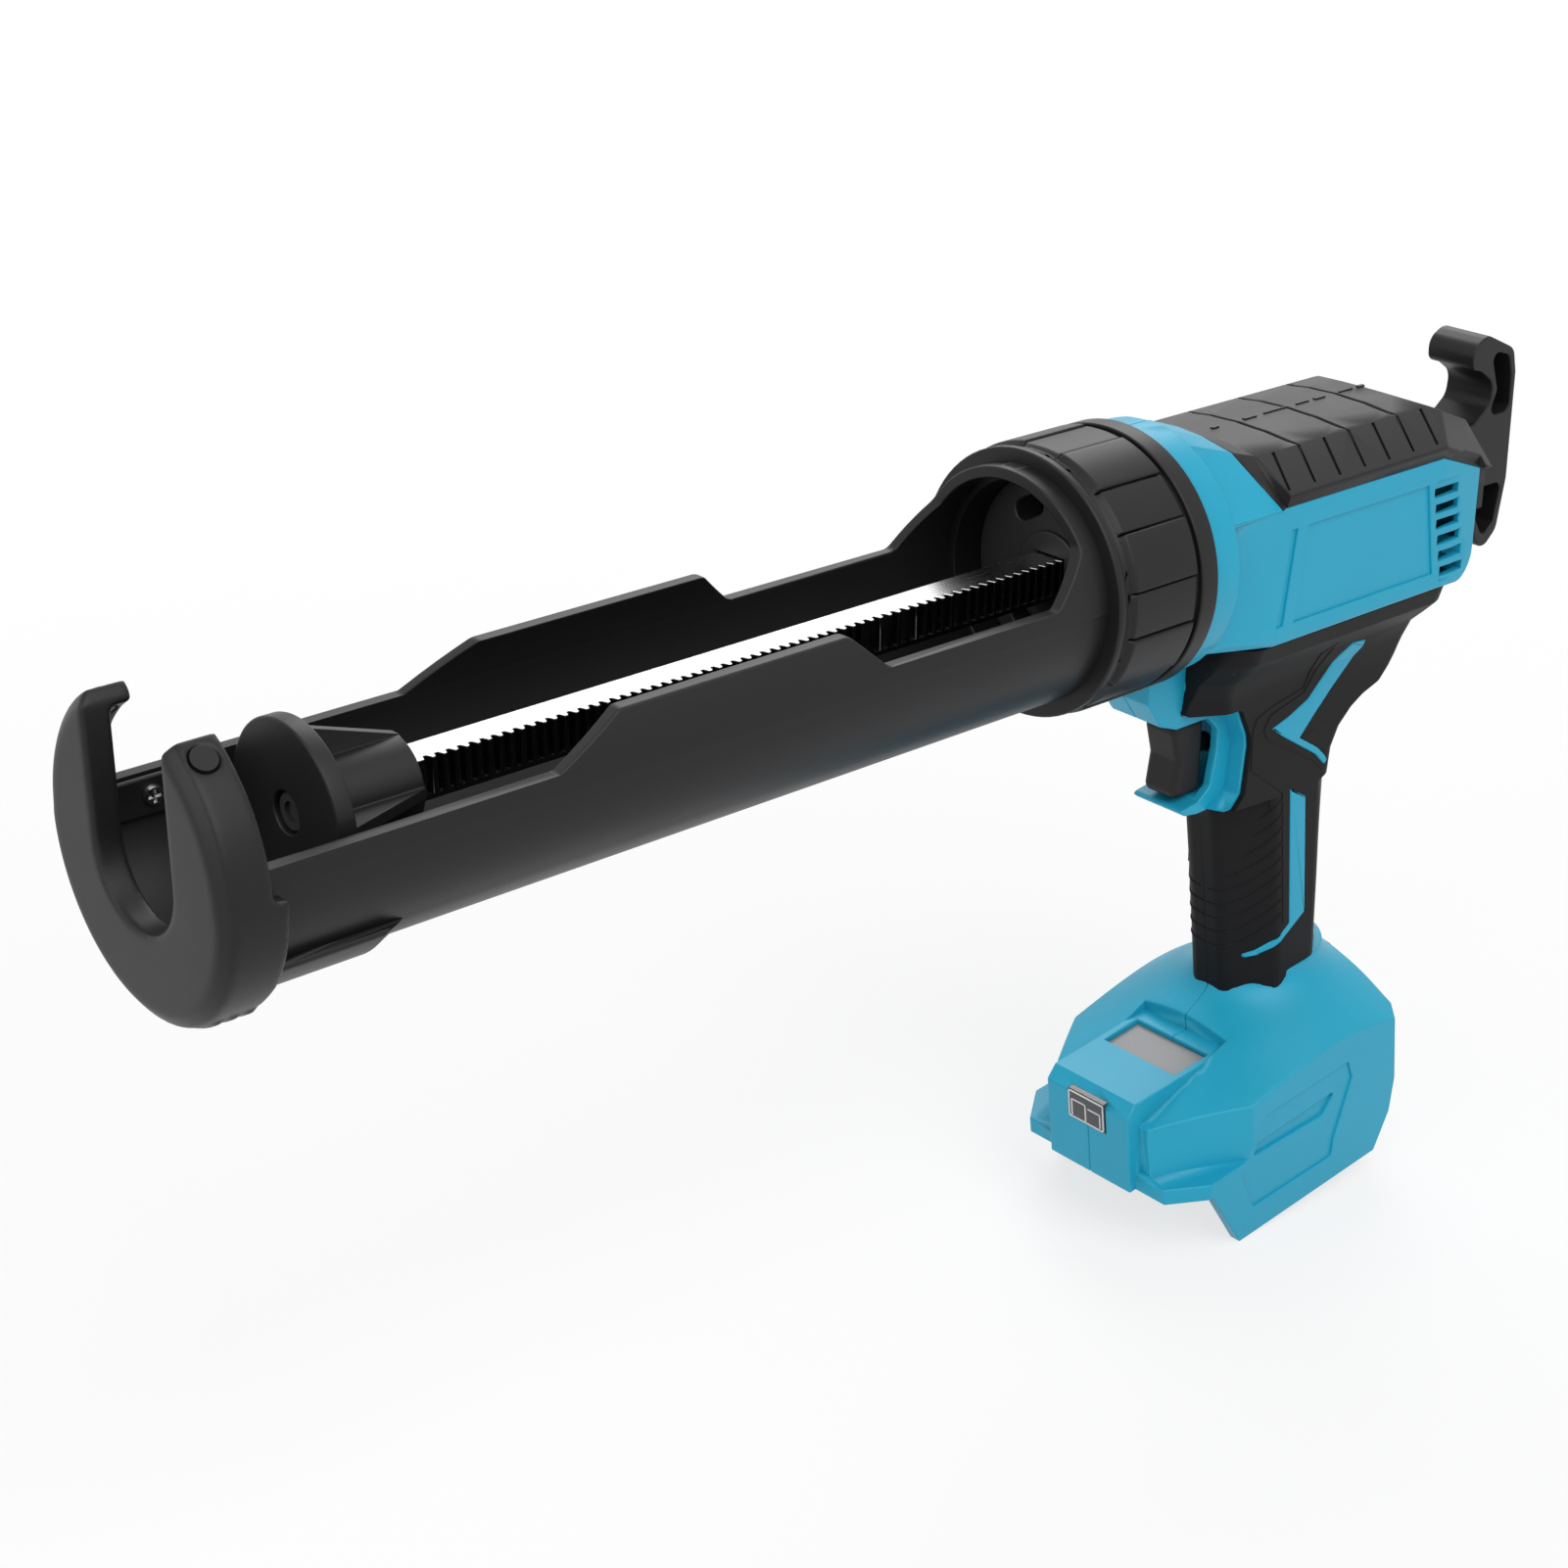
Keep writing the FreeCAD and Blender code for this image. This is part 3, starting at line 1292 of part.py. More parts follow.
def cover_corner():
    """Everything outside the facet at the cover's left rear corner."""
    start = V(cover_facet_front, body_half_width + cover_band_proud, cover_band_top)
    top = V(cover_facet_top, cover_half_top, cover_shoulder)
    rear = V(cover_rear, cover_facet_side, cover_facet_low)
    middle = (start + top + rear) / 3
    wide = [middle + (point - middle) * facet_reach_share for point in (start, top, rear)]
    out = (top - start).cross(rear - start).normalize() * -body_half_width
    return Part.Face(Part.makePolygon(wide + wide[:1])).extrude(out)


def side_groove(x):
    """A groove down the cover's left side facet from a place on its upper edge."""
    top = V(x, cover_half_top, cover_shoulder)
    low = V(x + cover_side_groove_lean, body_half_width + cover_band_proud, cover_band_top)
    low = top + (low - top) * groove_reach_share
    out = V(0, cover_shoulder - cover_band_top, body_half_width + cover_band_proud - cover_half_top)
    out.normalize()
    half_wide = V(cover_groove / 2, 0, 0)
    points = [top + half_wide, low + half_wide, low - half_wide, top - half_wide]
    points = [point + out * overrun for point in points]
    face = Part.Face(Part.makePolygon(points + points[:1]))
    return face.extrude(out * (-overrun - cover_groove_depth))


def make_top_cover():
    edge = body_half_width + cover_band_proud
    band = plate_x([(body_half_width, cover_split), (edge, cover_band_top), (cover_half_top, cover_shoulder),
                    (cover_half_top, cover_split)], body_rear + wall, body_front)
    solid = joined([body_envelope(0), band, mirrored(band)]).common(cover_region())
    rear_top = plate_x(body_section(0), cover_rear, body_rear + overrun).common(cover_region())
    rear_reach = body_half_width - body_taper
    rear_plate = box(cover_rear, body_rear, -rear_reach, rear_reach, cover_rear_drop, cover_rear_height)
    slope_cut = plate_y([(cover_slope_start, cover_crown + overrun), (cover_slope_start, cover_crown),
                         (cover_rear, cover_rear_height), (cover_rear, cover_crown + overrun)],
                        -edge, edge)
    hollow = body_envelope(wall)
    slope_under = slope_cut.copy()
    slope_under.translate(V(0, 0, -wall))
    facet_under = cover_corner()
    facet_under.translate(V(0, -wall, -wall))
    hollow = hollow.cut(slope_under).cut(facet_under).cut(mirrored(facet_under))
    solid = joined([solid, rear_top, rear_plate]).cut(hollow).cut(slope_cut)
    solid = solid.cut(cover_corner()).cut(mirrored(cover_corner()))
    solid = solid.cut(rack_hole(free_gap, cover_rear - overrun, body_rear + overrun))
    for index in range(cover_grooves):
        x = cover_groove_first - index * cover_groove_pitch
        ring = rod_z(cover_groove_arc + cover_groove / 2, cover_shoulder - cover_groove_depth,
                     cover_crown + overrun, x - cover_groove_arc)
        ring = ring.cut(rod_z(cover_groove_arc - cover_groove / 2, cover_split, nose_ring_radius,
                              x - cover_groove_arc))
        ring = ring.common(box(x - cover_groove_pitch, x + cover_groove_pitch, -cover_half_top,
                               cover_half_top, cover_split, nose_ring_radius))
        solid = solid.cut(ring)
    for index in range(cover_side_grooves):
        groove = side_groove(cover_side_groove_front - index * cover_groove_pitch / 2)
        solid = solid.cut(groove).cut(mirrored(groove))
    return solid


def make_grips():
    sleeve = handle_loft(0).cut(handle_loft(grip_thickness))
    reach = body_half_width + overrun
    for shares in (inlay_upper_shares, inlay_lower_shares):
        sleeve = sleeve.cut(inlay(shares, inlay_proud))
    frame = plate_y([frame_point(s) for s in frame_shares], -reach, reach, trigger_frame_corner)
    sleeve = sleeve.cut(frame).cut(handle_mouth())
    sleeve = sleeve.cut(dial_band(overrun)).cut(body_envelope(0)).cut(to_foot(foot_body(0)))
    for x, z in screw_places():
        sleeve = sleeve.cut(rod_y(screw_head_radius + free_gap, -reach, 0, x, z))
    return half(sleeve, 1), half(sleeve, -1)


def make_housing_screws():
    screws = []
    for x, z in screw_places():
        reach = side_reach(z) - wall / 2
        if z < handle_top:
            reach -= grip_thickness
        seat = -reach + screw_head
        head = rod_y(screw_head_radius, seat - screw_head, seat, x, z)
        socket = rod_y(screw_radius, seat - screw_head - overrun, seat - screw_head / 2, x, z)
        shank = rod_y(screw_radius - seat_gap, seat, screw_reach - overrun, x, z)
        screws.append(joined([head.cut(socket), shank]))
    return Part.makeCompound(screws)


# Trigger, switch and speed dial
def make_trigger():
    points = [(trigger_front, trigger_top), (trigger_front - trigger_dish, trigger_middle),
              (trigger_front - trigger_foot, trigger_low), (trigger_rear, trigger_low),
              (trigger_rear, trigger_top)]
    finger = plate_y(points, -trigger_half_width, trigger_half_width, trigger_corner)
    rims = [edge for edge in finger.Edges if edge.BoundBox.YLength < seat_gap]
    finger = finger.makeFillet(trigger_edge, rims)
    stem = box(trigger_rear - overrun, trigger_rear + overrun, -trigger_stem_half_width,
               trigger_stem_half_width,
               trigger_middle - trigger_stem_height / 2, trigger_middle + trigger_stem_height / 2)
    plunger = rod_x(plunger_radius, trigger_rear - plunger_length, trigger_rear, 0, trigger_middle)
    return joined([finger, stem, plunger])


def make_switch():
    body = box(switch_front - switch_length, switch_front, -switch_half_width, switch_half_width,
               switch_low, switch_top)
    depth = trigger_rear - plunger_length - trigger_travel - free_gap
    return body.cut(rod_x(plunger_radius + run_gap, depth, switch_front + overrun, 0, trigger_middle))


def make_dial():
    wheel = rod_y(dial_radius, -dial_half_width, dial_half_width, dial_x, dial_z)
    for index in range(dial_notches):
        notch = box(dial_radius - dial_notch_depth, dial_radius + overrun, -dial_half_width - overrun,
                    dial_half_width + overrun, -dial_notch_width / 2, dial_notch_width / 2)
        notch.rotate(V(0, 0, 0), V(0, 1, 0), index * 360 / dial_notches)
        notch.translate(V(dial_x, 0, dial_z))
        wheel = wheel.cut(notch)
    return wheel.cut(rod_y(dial_pot_radius + run_gap, -dial_half_width - overrun,
                           dial_half_width + overrun, dial_x, dial_z))


def make_dial_pot():
    return rod_y(dial_pot_radius, -dial_pot_reach, dial_pot_reach, dial_x, dial_z)


# Foot fittings
def make_display_window():
    top = bezel_top - window_recess
    return to_foot(box(window_rear, window_front, -window_half_width, window_half_width,
                       top - window_thickness, top))


def make_display_module():
    top = bezel_top - window_recess - window_thickness
    return to_foot(box(window_rear, window_front, -window_half_width, window_half_width,
                       top - display_height, top))


def make_lamp_lens():
    front = bezel_front + lamp_proud
    lens = box(front - lamp_depth, front, -lamp_half_width, lamp_half_width, lamp_low, lamp_top)
    return to_foot(lens)


def make_lamp_board():
    front = bezel_front + lamp_proud - lamp_depth
    board = box(front - lamp_board_thickness, front, -lamp_half_width, lamp_half_width, lamp_low,
                lamp_top)
    return to_foot(board)


def make_control_board():
    board = box(board_rear, board_front, -board_half_width, board_half_width, board_level,
                board_level + board_thickness)
    return to_foot(board)


def make_terminal_block():
    top = foot_lip_bottom
    block = box(block_rear, block_front, -block_half_width, block_half_width, top - block_height, top)
    return to_foot(block)


def make_terminal_blades():
    blades = []
    low = foot_lip_bottom - block_height
    for index in range(blade_count):
        y = (index - (blade_count - 1) / 2) * blade_pitch
        blades.append(to_foot(box(block_rear + overrun, block_rear + overrun + blade_length,
                                  y - blade_thickness / 2,
                                  y + blade_thickness / 2, low - blade_height, low)))
    return Part.makeCompound(blades)


left_housing, right_housing = make_housing_halves()
left_grip, right_grip = make_grips()
pieces = {
    "rack": make_rack(),
    "piston": make_piston(),
    "piston_screw": make_piston_screw(),
    "pull_hook": make_hook(),
    "hook_screw": make_hook_screw(),
    "rack_pinion": make_rack_pinion(),
    "drive_gear": make_drive_gear(),
    "pinion_shaft": make_pinion_shaft(),
    "pinion_bearings": make_pinion_bearings(),
    "motor_pinion": make_motor_pinion(),
    "gear_case": make_gear_case(),
    "rack_guides": make_rack_guides(),
    "gearbox": make_gearbox(),
    "gearbox_screws": make_gearbox_screws(),
    "motor": make_motor(),
    "motor_cap": make_motor_cap(),
    "holder_tray": make_tray(),
    "nose_cap": make_nose_cap(),
    "nose_plugs": make_nose_plugs(),
    "nose_screws": make_nose_screws(),
    "lock_collar": make_collar(),
    "left_housing": left_housing,
    "right_housing": right_housing,
    "top_cover": make_top_cover(),
    "left_grip": left_grip,
    "right_grip": right_grip,
    "housing_screws": make_housing_screws(),
    "trigger": make_trigger(),
    "switch": make_switch(),
    "speed_dial": make_dial(),
    "dial_pot": make_dial_pot(),
    "display_window": make_display_window(),
    "display_module": make_display_module(),
    "lamp_lens": make_lamp_lens(),
    "lamp_board": make_lamp_board(),
    "control_board": make_control_board(),
    "terminal_block": make_terminal_block(),
    "terminal_blades": make_terminal_blades(),
}
for name, shape in pieces.items():
    save(name, shape)
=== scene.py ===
"""Cordless caulking tool: moulded finish, materials, fasteners and a plain studio."""

import json
import math

import bmesh
import bpy
from bpy.props import FloatProperty, FloatVectorProperty, IntProperty, PointerProperty
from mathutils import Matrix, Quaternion, Vector
from mathutils.bvhtree import BVHTree
from mathutils.kdtree import KDTree


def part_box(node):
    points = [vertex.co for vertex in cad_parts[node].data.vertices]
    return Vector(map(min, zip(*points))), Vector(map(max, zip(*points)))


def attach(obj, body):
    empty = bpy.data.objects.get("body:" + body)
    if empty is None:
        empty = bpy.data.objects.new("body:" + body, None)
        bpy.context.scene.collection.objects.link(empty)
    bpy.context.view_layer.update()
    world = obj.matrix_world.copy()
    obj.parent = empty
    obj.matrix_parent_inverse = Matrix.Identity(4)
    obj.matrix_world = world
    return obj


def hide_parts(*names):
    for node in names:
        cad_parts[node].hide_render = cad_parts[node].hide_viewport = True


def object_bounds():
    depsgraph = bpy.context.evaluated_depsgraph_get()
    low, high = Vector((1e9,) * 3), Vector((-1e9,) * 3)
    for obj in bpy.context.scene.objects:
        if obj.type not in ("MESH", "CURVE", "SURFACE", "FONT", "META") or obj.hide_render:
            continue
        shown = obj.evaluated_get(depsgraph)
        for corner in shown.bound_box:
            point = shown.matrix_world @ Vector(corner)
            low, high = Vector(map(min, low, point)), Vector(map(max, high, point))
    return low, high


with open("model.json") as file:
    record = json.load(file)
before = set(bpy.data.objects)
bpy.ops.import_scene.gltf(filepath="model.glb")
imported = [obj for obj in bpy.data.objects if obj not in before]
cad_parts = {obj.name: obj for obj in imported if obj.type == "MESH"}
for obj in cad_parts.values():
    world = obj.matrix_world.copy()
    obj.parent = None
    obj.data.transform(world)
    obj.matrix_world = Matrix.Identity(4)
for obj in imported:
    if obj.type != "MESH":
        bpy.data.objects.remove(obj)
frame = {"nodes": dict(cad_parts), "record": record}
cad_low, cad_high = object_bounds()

bl_info = {
    "name": "Cordless caulking tool",
    "version": (1, 0, 0),
    "blender": (4, 5, 0),
    "location": "3D View > Sidebar > Caulking tool",
    "description": "Dresses the caulking tool's frame with moulded pieces and materials",
    "category": "Object",
}

# Joining a frame piece's triangles into faces: what counts as one point and as flat, how far the
# joined faces may stray, and how near a stray its edges are kept
MERGE_DISTANCE = 2e-6
FLAT_ANGLE = math.radians(0.05)
MERGE_LIMIT = 1.5e-4
MERGE_REACH = 1e-4

# Edge rounding: the corners that are rounded, and the steps and tries of a round
CORNER_ANGLE = math.radians(24.0)
ROUND_STEPS = 2
ROUND_TRIES = 8
EDGE_WEIGHTS = "bevel_weight_edge"
# Share of the room beside an edge that its round takes, and the least share of a full round
ROOM_SHARE = 0.42
LEAST_SHARE = 0.12
# Cosine past which a neighbouring edge runs along the rounded one
ALONG_COSINE = 0.85
# As shares of the round's width: how far it may stray, and the reach of the first mend
STRAY_SHARE = 0.75
EASE_SHARE = 0.5
# Tries after which the faces beside a stray are split as well
SPLIT_AFTER = 2

# Shading: the angle that stays sharp, and how far large faces outweigh small ones
SMOOTH_ANGLE = math.radians(38.0)
NORMAL_WEIGHT = 80

# Nose cap: strength of a softening pass, and the share of its faces that is kept
SOFTEN_FACTOR = 0.5
NOSE_KEPT_SHARE = 0.5

# Screws: the head's upper radius as a share of its lower one, how high the recess sits in the
# head, the recess's width as a share of its length, and the share of a screw's radius past which
# a point is on its head
HEAD_RIM_SHARE = 0.84
RECESS_LIFT = 0.9
RECESS_SLIM = 0.25
HEAD_SHARE = 0.9

# Grip ribs: rear end of the first rib, their pitch, fall and turn round the handle
RIB_FIRST_LEVEL = -0.0862
RIB_PITCH = 0.00491
RIB_FALL = 0.0122
RIB_TURN = math.radians(68.0)
RIB_LAST_TURN = math.radians(1.5)
RIB_STEPS = 24
RIB_REACH = 0.045
# Share of its run that the first rib keeps, and what a lower rib's number and its square add
RIB_KEPT_SHARES = (0.32, 0.06, 0.025)
# Handle's middle line: x at the first rib's level, and its lean
HANDLE_MIDDLE = -0.1045
HANDLE_LEAN = 0.095

# Grip's lower edge: front x, its level there, and its rise for each metre backwards
GRIP_LOW_EDGE = (-0.091, -0.1470, 0.113)

# Lines round the grip's inlays, as (x, z) on the side of the handle
GRIP_LINES = (
    ((-0.1074, -0.0366), (-0.1024, -0.0518), (-0.0893, -0.0543), (-0.0828, -0.0567),
     (-0.0816, -0.0600), (-0.0820, -0.0726), (-0.0972, -0.0841), (-0.1024, -0.1292)),
    ((-0.1111, -0.0403), (-0.1029, -0.0535), (-0.0888, -0.0572), (-0.0865, -0.0612),
     (-0.0887, -0.0648), (-0.1104, -0.0771), (-0.1148, -0.0814)),
)
# Where the lines start beside the handle, how far they are cast, their step and their sides
LINE_SIDE = 0.06
LINE_REACH = 0.12
LINE_STEP = 0.0008
LINE_SIDES = 8

# Dashes on the cover's middle line, as (x, length, width), and where they are dropped from
COVER_DASHES = (
    (-0.1398, 0.0026, 0.0011), (-0.1330, 0.0060, 0.0005), (-0.1211, 0.0044, 0.0011),
    (-0.1136, 0.0055, 0.0005), (-0.1018, 0.0100, 0.0005), (-0.0907, 0.0051, 0.0011),
    (-0.0760, 0.0026, 0.0011),
)
DASH_DROP = 0.06
DASH_REACH = 1.0

# Painted highlights on the lamp lens, along its rim and the reflector's edges, as shares of its
# half width and its height
LENS_HIGHLIGHTS = (
    ((-0.95, 0.05), (-0.95, 0.94), (0.95, 0.94), (0.95, 0.05), (-0.95, 0.05)),
    ((-0.80, 0.10), (-0.80, 0.66), (-0.04, 0.66), (-0.04, 0.10)),
    ((0.12, 0.58), (0.78, 0.58), (0.78, 0.12)),
)
# Cosine past which a face belongs to the lens's front, and how far before it the lines start
LENS_FACE_COSINE = 0.99
LENS_CLEAR = 0.005

# Studio: the floor's colour, roughness and fade, the lights as (name, place, size, setting of
# their power), and the camera's sensor and clip distances
WHITE = (1.0, 1.0, 1.0, 1.0)
FLOOR_GREY = (0.86, 0.86, 0.86, 1.0)
FLOOR_DRIFT = {"Drift Scale": 0.6, "Darkest": 0.98, "Lightest": 1.0}
FLOOR_ROUGHNESS = 0.9
FLOOR_FADE = 3.0
LIGHTS = (
    ("key_light", (0.15, 1.05, 1.15), 1.3, "key_power"),
    ("fill_light", (1.25, 0.1, 0.55), 1.0, "fill_power"),
    ("rim_light", (-0.75, -0.75, 0.95), 0.9, "rim_power"),
)
SENSOR_WIDTH = 36.0
CLIP_START = 0.01
CLIP_END = 200.0

# Darkest and lightest shares of a finish's tone
MOULDED_DRIFT = (0.94, 1.05)
METAL_DRIFT = (0.93, 1.05)

# Kinds of node trees and sockets
SHADER = "ShaderNodeTree"
GEOMETRY = "GeometryNodeTree"
FLOAT = "NodeSocketFloat"
VECTOR = "NodeSocketVector"
WHOLE = "NodeSocketInt"
COLOUR = "NodeSocketColor"
SHAPE = "NodeSocketGeometry"
OBJECT = "NodeSocketObject"
FINISH = "NodeSocketMaterial"


# Settings that a user may change

def colour_setting(name, about, value):
    """A colour."""
    return FloatVectorProperty(name=name, description=about, subtype="COLOR", size=3, min=0.0,
                               max=1.0, default=value)


def length_setting(name, about, low, high, value):
    """A length in metres."""
    return FloatProperty(name=name, description=about, unit="LENGTH", min=low, max=high,
                         default=value)


def angle_setting(name, about, degrees):
    """An angle, given in degrees."""
    return FloatProperty(name=name, description=about, subtype="ANGLE",
                         default=math.radians(degrees))


def power_setting(name, about, value):
    """A light's power in watts."""
    return FloatProperty(name=name, description=about, unit="POWER", default=value)


class CaulkerColours(bpy.types.PropertyGroup):
    """Colours of the tool's finishes."""

    cyan: colour_setting("Cyan plastic", "Moulded housing and foot", (0.012, 0.330, 0.500))
    black: colour_setting("Black plastic", "Holder, collar, cover, hook and trigger",
                          (0.0105, 0.0098, 0.0108))
    rubber: colour_setting("Grip rubber", "Soft panels of the handle", (0.0072, 0.0067, 0.0075))
    steel: colour_setting("Bright steel", "Rack and screws", (0.60, 0.60, 0.61))
    # Painted shade: the colour that darkens the steel rack's teeth where shade falls between them
    tooth_gap_shade: colour_setting("Tooth gaps", "Between the rack's teeth", (0.09, 0.09, 0.095))
    gear: colour_setting("Gear steel", "Gears and gearbox", (0.42, 0.42, 0.43))
    casting: colour_setting("Dark casting", "Gear case and piston screw", (0.022, 0.022, 0.024))
    brass: colour_setting("Brass", "Bushes and contact blades", (0.66, 0.48, 0.19))
    guide: colour_setting("Guide plastic", "Inner mouldings", (0.035, 0.035, 0.038))
    board: colour_setting("Board", "Circuit boards", (0.02, 0.13, 0.05))
    window: colour_setting("Display window", "Grey window in the foot", (0.21, 0.21, 0.215))
    lens: colour_setting("Lamp lens", "Clear lens at the foot's front", (0.070, 0.072, 0.078))


class CaulkerSizes(bpy.types.PropertyGroup):
    """Small sizes of the finish."""

    moulded_round: length_setting(
        "Moulded edge", "Edge round of the plastic pieces", 0.0, 0.003, 0.00055)
    grip_round: length_setting("Grip edge", "Edge round of the soft grips", 0.0, 0.003, 0.00030)
    grip_sink: length_setting(
        "Grip sink", "How far the grips' lower edges run into the foot", 0.0, 0.01, 0.006)
    holder_round: length_setting(
        "Holder edge", "Edge round of the cartridge holder", 0.0, 0.003, 0.00060)
    nose_grain: length_setting(
        "Nose grain", "Cell of the nose cap's soft skin", 0.0003, 0.004, 0.0006)
    nose_passes: IntProperty(
        name="Nose passes", description="Softening passes over the nose cap", min=1, max=60,
        default=20)
    metal_round: length_setting(
        "Metal edge", "Edge break of the steel pieces", 0.0, 0.002, 0.00018)
    glass_round: length_setting(
        "Window edge", "Edge break of the window and the lens", 0.0, 0.002, 0.00030)
    # How deep into the teeth the painted shade reaches, and the band at the teeth's top that it
    # leaves bright
    tooth_shade_depth: length_setting(
        "Tooth depth", "Depth of the dark gaps between the rack's teeth", 0.0, 0.01, 0.0032)
    tooth_unshaded_top: length_setting(
        "Bright edge", "Height of the bright edge on the rack's teeth", 0.0, 0.01, 0.0006)
    recess_share: FloatProperty(
        name="Screw recess", subtype="FACTOR", min=0.1, max=0.8, default=0.62,
        description="Length of the cross recess as a share of the head's diameter")
    head_sides: IntProperty(
        name="Head sides", description="Sides of a screw head", min=12, max=96, default=40)
    rib_count: IntProperty(
        name="Grip ribs", description="Ribs on each side of the handle", min=1, max=20, default=9)
    rib_radius: length_setting(
        "Rib radius", "Half the width of a grip rib", 0.0001, 0.001, 0.00034)
    # The lens's bright lines are painted highlights along its rim and the reflector's edges
    lens_highlight_line: length_setting(
        "Lens line", "Half the width of the bright lines on the lamp lens", 0.0001, 0.001, 0.00028)
    line_radius: length_setting(
        "Line radius", "Half the width of the lines round the grip's inlays", 0.0001, 0.001,
        0.00024)
    dash_height: length_setting(
        "Dash height", "Height of the dashes on the cover's middle line", 0.0001, 0.002, 0.0007)


class CaulkerStage(bpy.types.PropertyGroup):
    """Camera, floor and lights."""

    camera_place: FloatVectorProperty(
        name="Camera place", description="Camera in the tool's frame", subtype="TRANSLATION",
        unit="LENGTH", size=3, default=(0.5282, 0.5178, 0.2700))
    camera_azimuth: angle_setting("Azimuth", "Viewing direction about the vertical", 139.3265)
    camera_elevation: angle_setting("Elevation", "Viewing direction above the horizon", 24.081)
    camera_roll: angle_setting("Roll", "Turn about the viewing direction", 0.167)
    lens: FloatProperty(
        name="Lens", description="Focal length on a 36 mm sensor", unit="CAMERA", min=10.0,
        max=300.0, default=66.704)
    floor_size: FloatProperty(
        name="Floor size", description="Side of the floor", unit="LENGTH", default=60.0)
    floor_white: FloatProperty(
        name="Floor white", description="Share of plain white in the floor that the camera sees",
        subtype="FACTOR", min=0.0, max=1.0, default=0.72)
    key_power: power_setting("Key light", "Power of the large light", 16.5)
    fill_power: power_setting("Fill light", "Power of the fill light", 6.0)
    rim_power: power_setting("Rim light", "Power of the light behind the tool", 9.0)
    sky: FloatProperty(
        name="Sky", description="Strength of the even light", min=0.0, max=2.0, default=0.40)


# Node trees

def put(tree, kind, inputs=None, **settings):
    """A node with its settings, and with its inputs linked or set."""
    node = tree.nodes.new(kind)
    for label, value in settings.items():
        setattr(node, label, value)
    for label, value in (inputs or {}).items():
        if isinstance(value, bpy.types.NodeSocket):
            tree.links.new(value, node.inputs[label])
        else:
            node.inputs[label].default_value = value
    return node


def new_tree(kind, name, inputs, outputs):
    """A node group, with its inputs as (name, kind, default where it has one) and its outputs."""
    tree = bpy.data.node_groups.new(name, kind)
    for direction, rows in (("INPUT", inputs), ("OUTPUT", outputs)):
        for label, socket, *value in rows:
            made = tree.interface.new_socket(name=label, in_out=direction, socket_type=socket)
            if value:
                made.default_value = value[0]
    return tree, tree.nodes.new("NodeGroupInput").outputs, tree.nodes.new("NodeGroupOutput").inputs


def made_once(name):
    """A node group's maker gets its name, and isn't run again where the group is there."""
    def wrap(make):
        def once():
            return bpy.data.node_groups.get(name) or make(name)
        once.__doc__ = make.__doc__
        return once
    return wrap


# Shader groups

def place_noise(tree, vector, scale, detail, roughness):
    """A noise texture on given coordinates."""
    return put(tree, "ShaderNodeTexNoise", {
        "Vector": vector, "Scale": scale, "Detail": detail, "Roughness": roughness}).outputs["Fac"]


def place_range(tree, value, low, high):
    """Maps a 0 to 1 value onto low to high."""
    return put(tree, "ShaderNodeMapRange", {
        "Value": value, "To Min": low, "To Max": high}).outputs["Result"]


def object_place(tree):
    """The point on the piece, in the tool's frame."""
    return tree.nodes.new("ShaderNodeTexCoord").outputs["Object"]


@made_once("moulded_grain")
def grain_group(name):
    """Moulded grain: fine height, and a gloss that drifts over the piece."""
    tree, given, made = new_tree(
        SHADER, name,
        [("Grain Scale", FLOAT, 1500.0), ("Drift Scale", FLOAT, 24.0), ("Low Gloss", FLOAT, 0.38),
         ("High Gloss", FLOAT, 0.5)],
        [("Roughness", FLOAT), ("Height", FLOAT)])
    place = object_place(tree)
    fine = place_noise(tree, place, given["Grain Scale"], detail=2.0, roughness=0.5)
    drift = place_noise(tree, place, given["Drift Scale"], detail=3.0, roughness=0.55)
    gloss = place_range(tree, drift, given["Low Gloss"], given["High Gloss"])
    tree.links.new(gloss, made["Roughness"])
    tree.links.new(fine, made["Height"])
    return tree


@made_once("tone_drift")
def tone_group(name):
    """Tone drift: a colour that grows slightly lighter and darker over the piece."""
    tree, given, made = new_tree(
        SHADER, name,
        [("Colour", COLOUR, (0.5, 0.5, 0.5, 1.0)), ("Drift Scale", FLOAT, 18.0),
         ("Darkest", FLOAT, 0.92), ("Lightest", FLOAT, 1.06)],
        [("Colour", COLOUR)])
    drift = place_noise(tree, object_place(tree), given["Drift Scale"], detail=4.0, roughness=0.6)
    share = place_range(tree, drift, given["Darkest"], given["Lightest"])
    scaled = put(tree, "ShaderNodeVectorMath", {0: given["Colour"], "Scale": share},
                 operation="SCALE")
    tree.links.new(scaled.outputs["Vector"], made["Colour"])
    return tree


@made_once("brushed_lines")
def brushed_group(name):
    """Brushed metal: fine lines along the tool's length."""
    tree, given, made = new_tree(
        SHADER, name,
        [("Line Stretch", VECTOR, (40.0, 2600.0, 2600.0)), ("Low Gloss", FLOAT, 0.16),
         ("High Gloss", FLOAT, 0.34)],
        [("Roughness", FLOAT), ("Height", FLOAT)])
    stretched = put(tree, "ShaderNodeMapping", {
        "Vector": object_place(tree), "Scale": given["Line Stretch"]})
    lines = place_noise(tree, stretched.outputs["Vector"], scale=1.0, detail=3.0, roughness=0.6)
    gloss = place_range(tree, lines, given["Low Gloss"], given["High Gloss"])
    tree.links.new(gloss, made["Roughness"])
    tree.links.new(lines, made["Height"])
    return tree


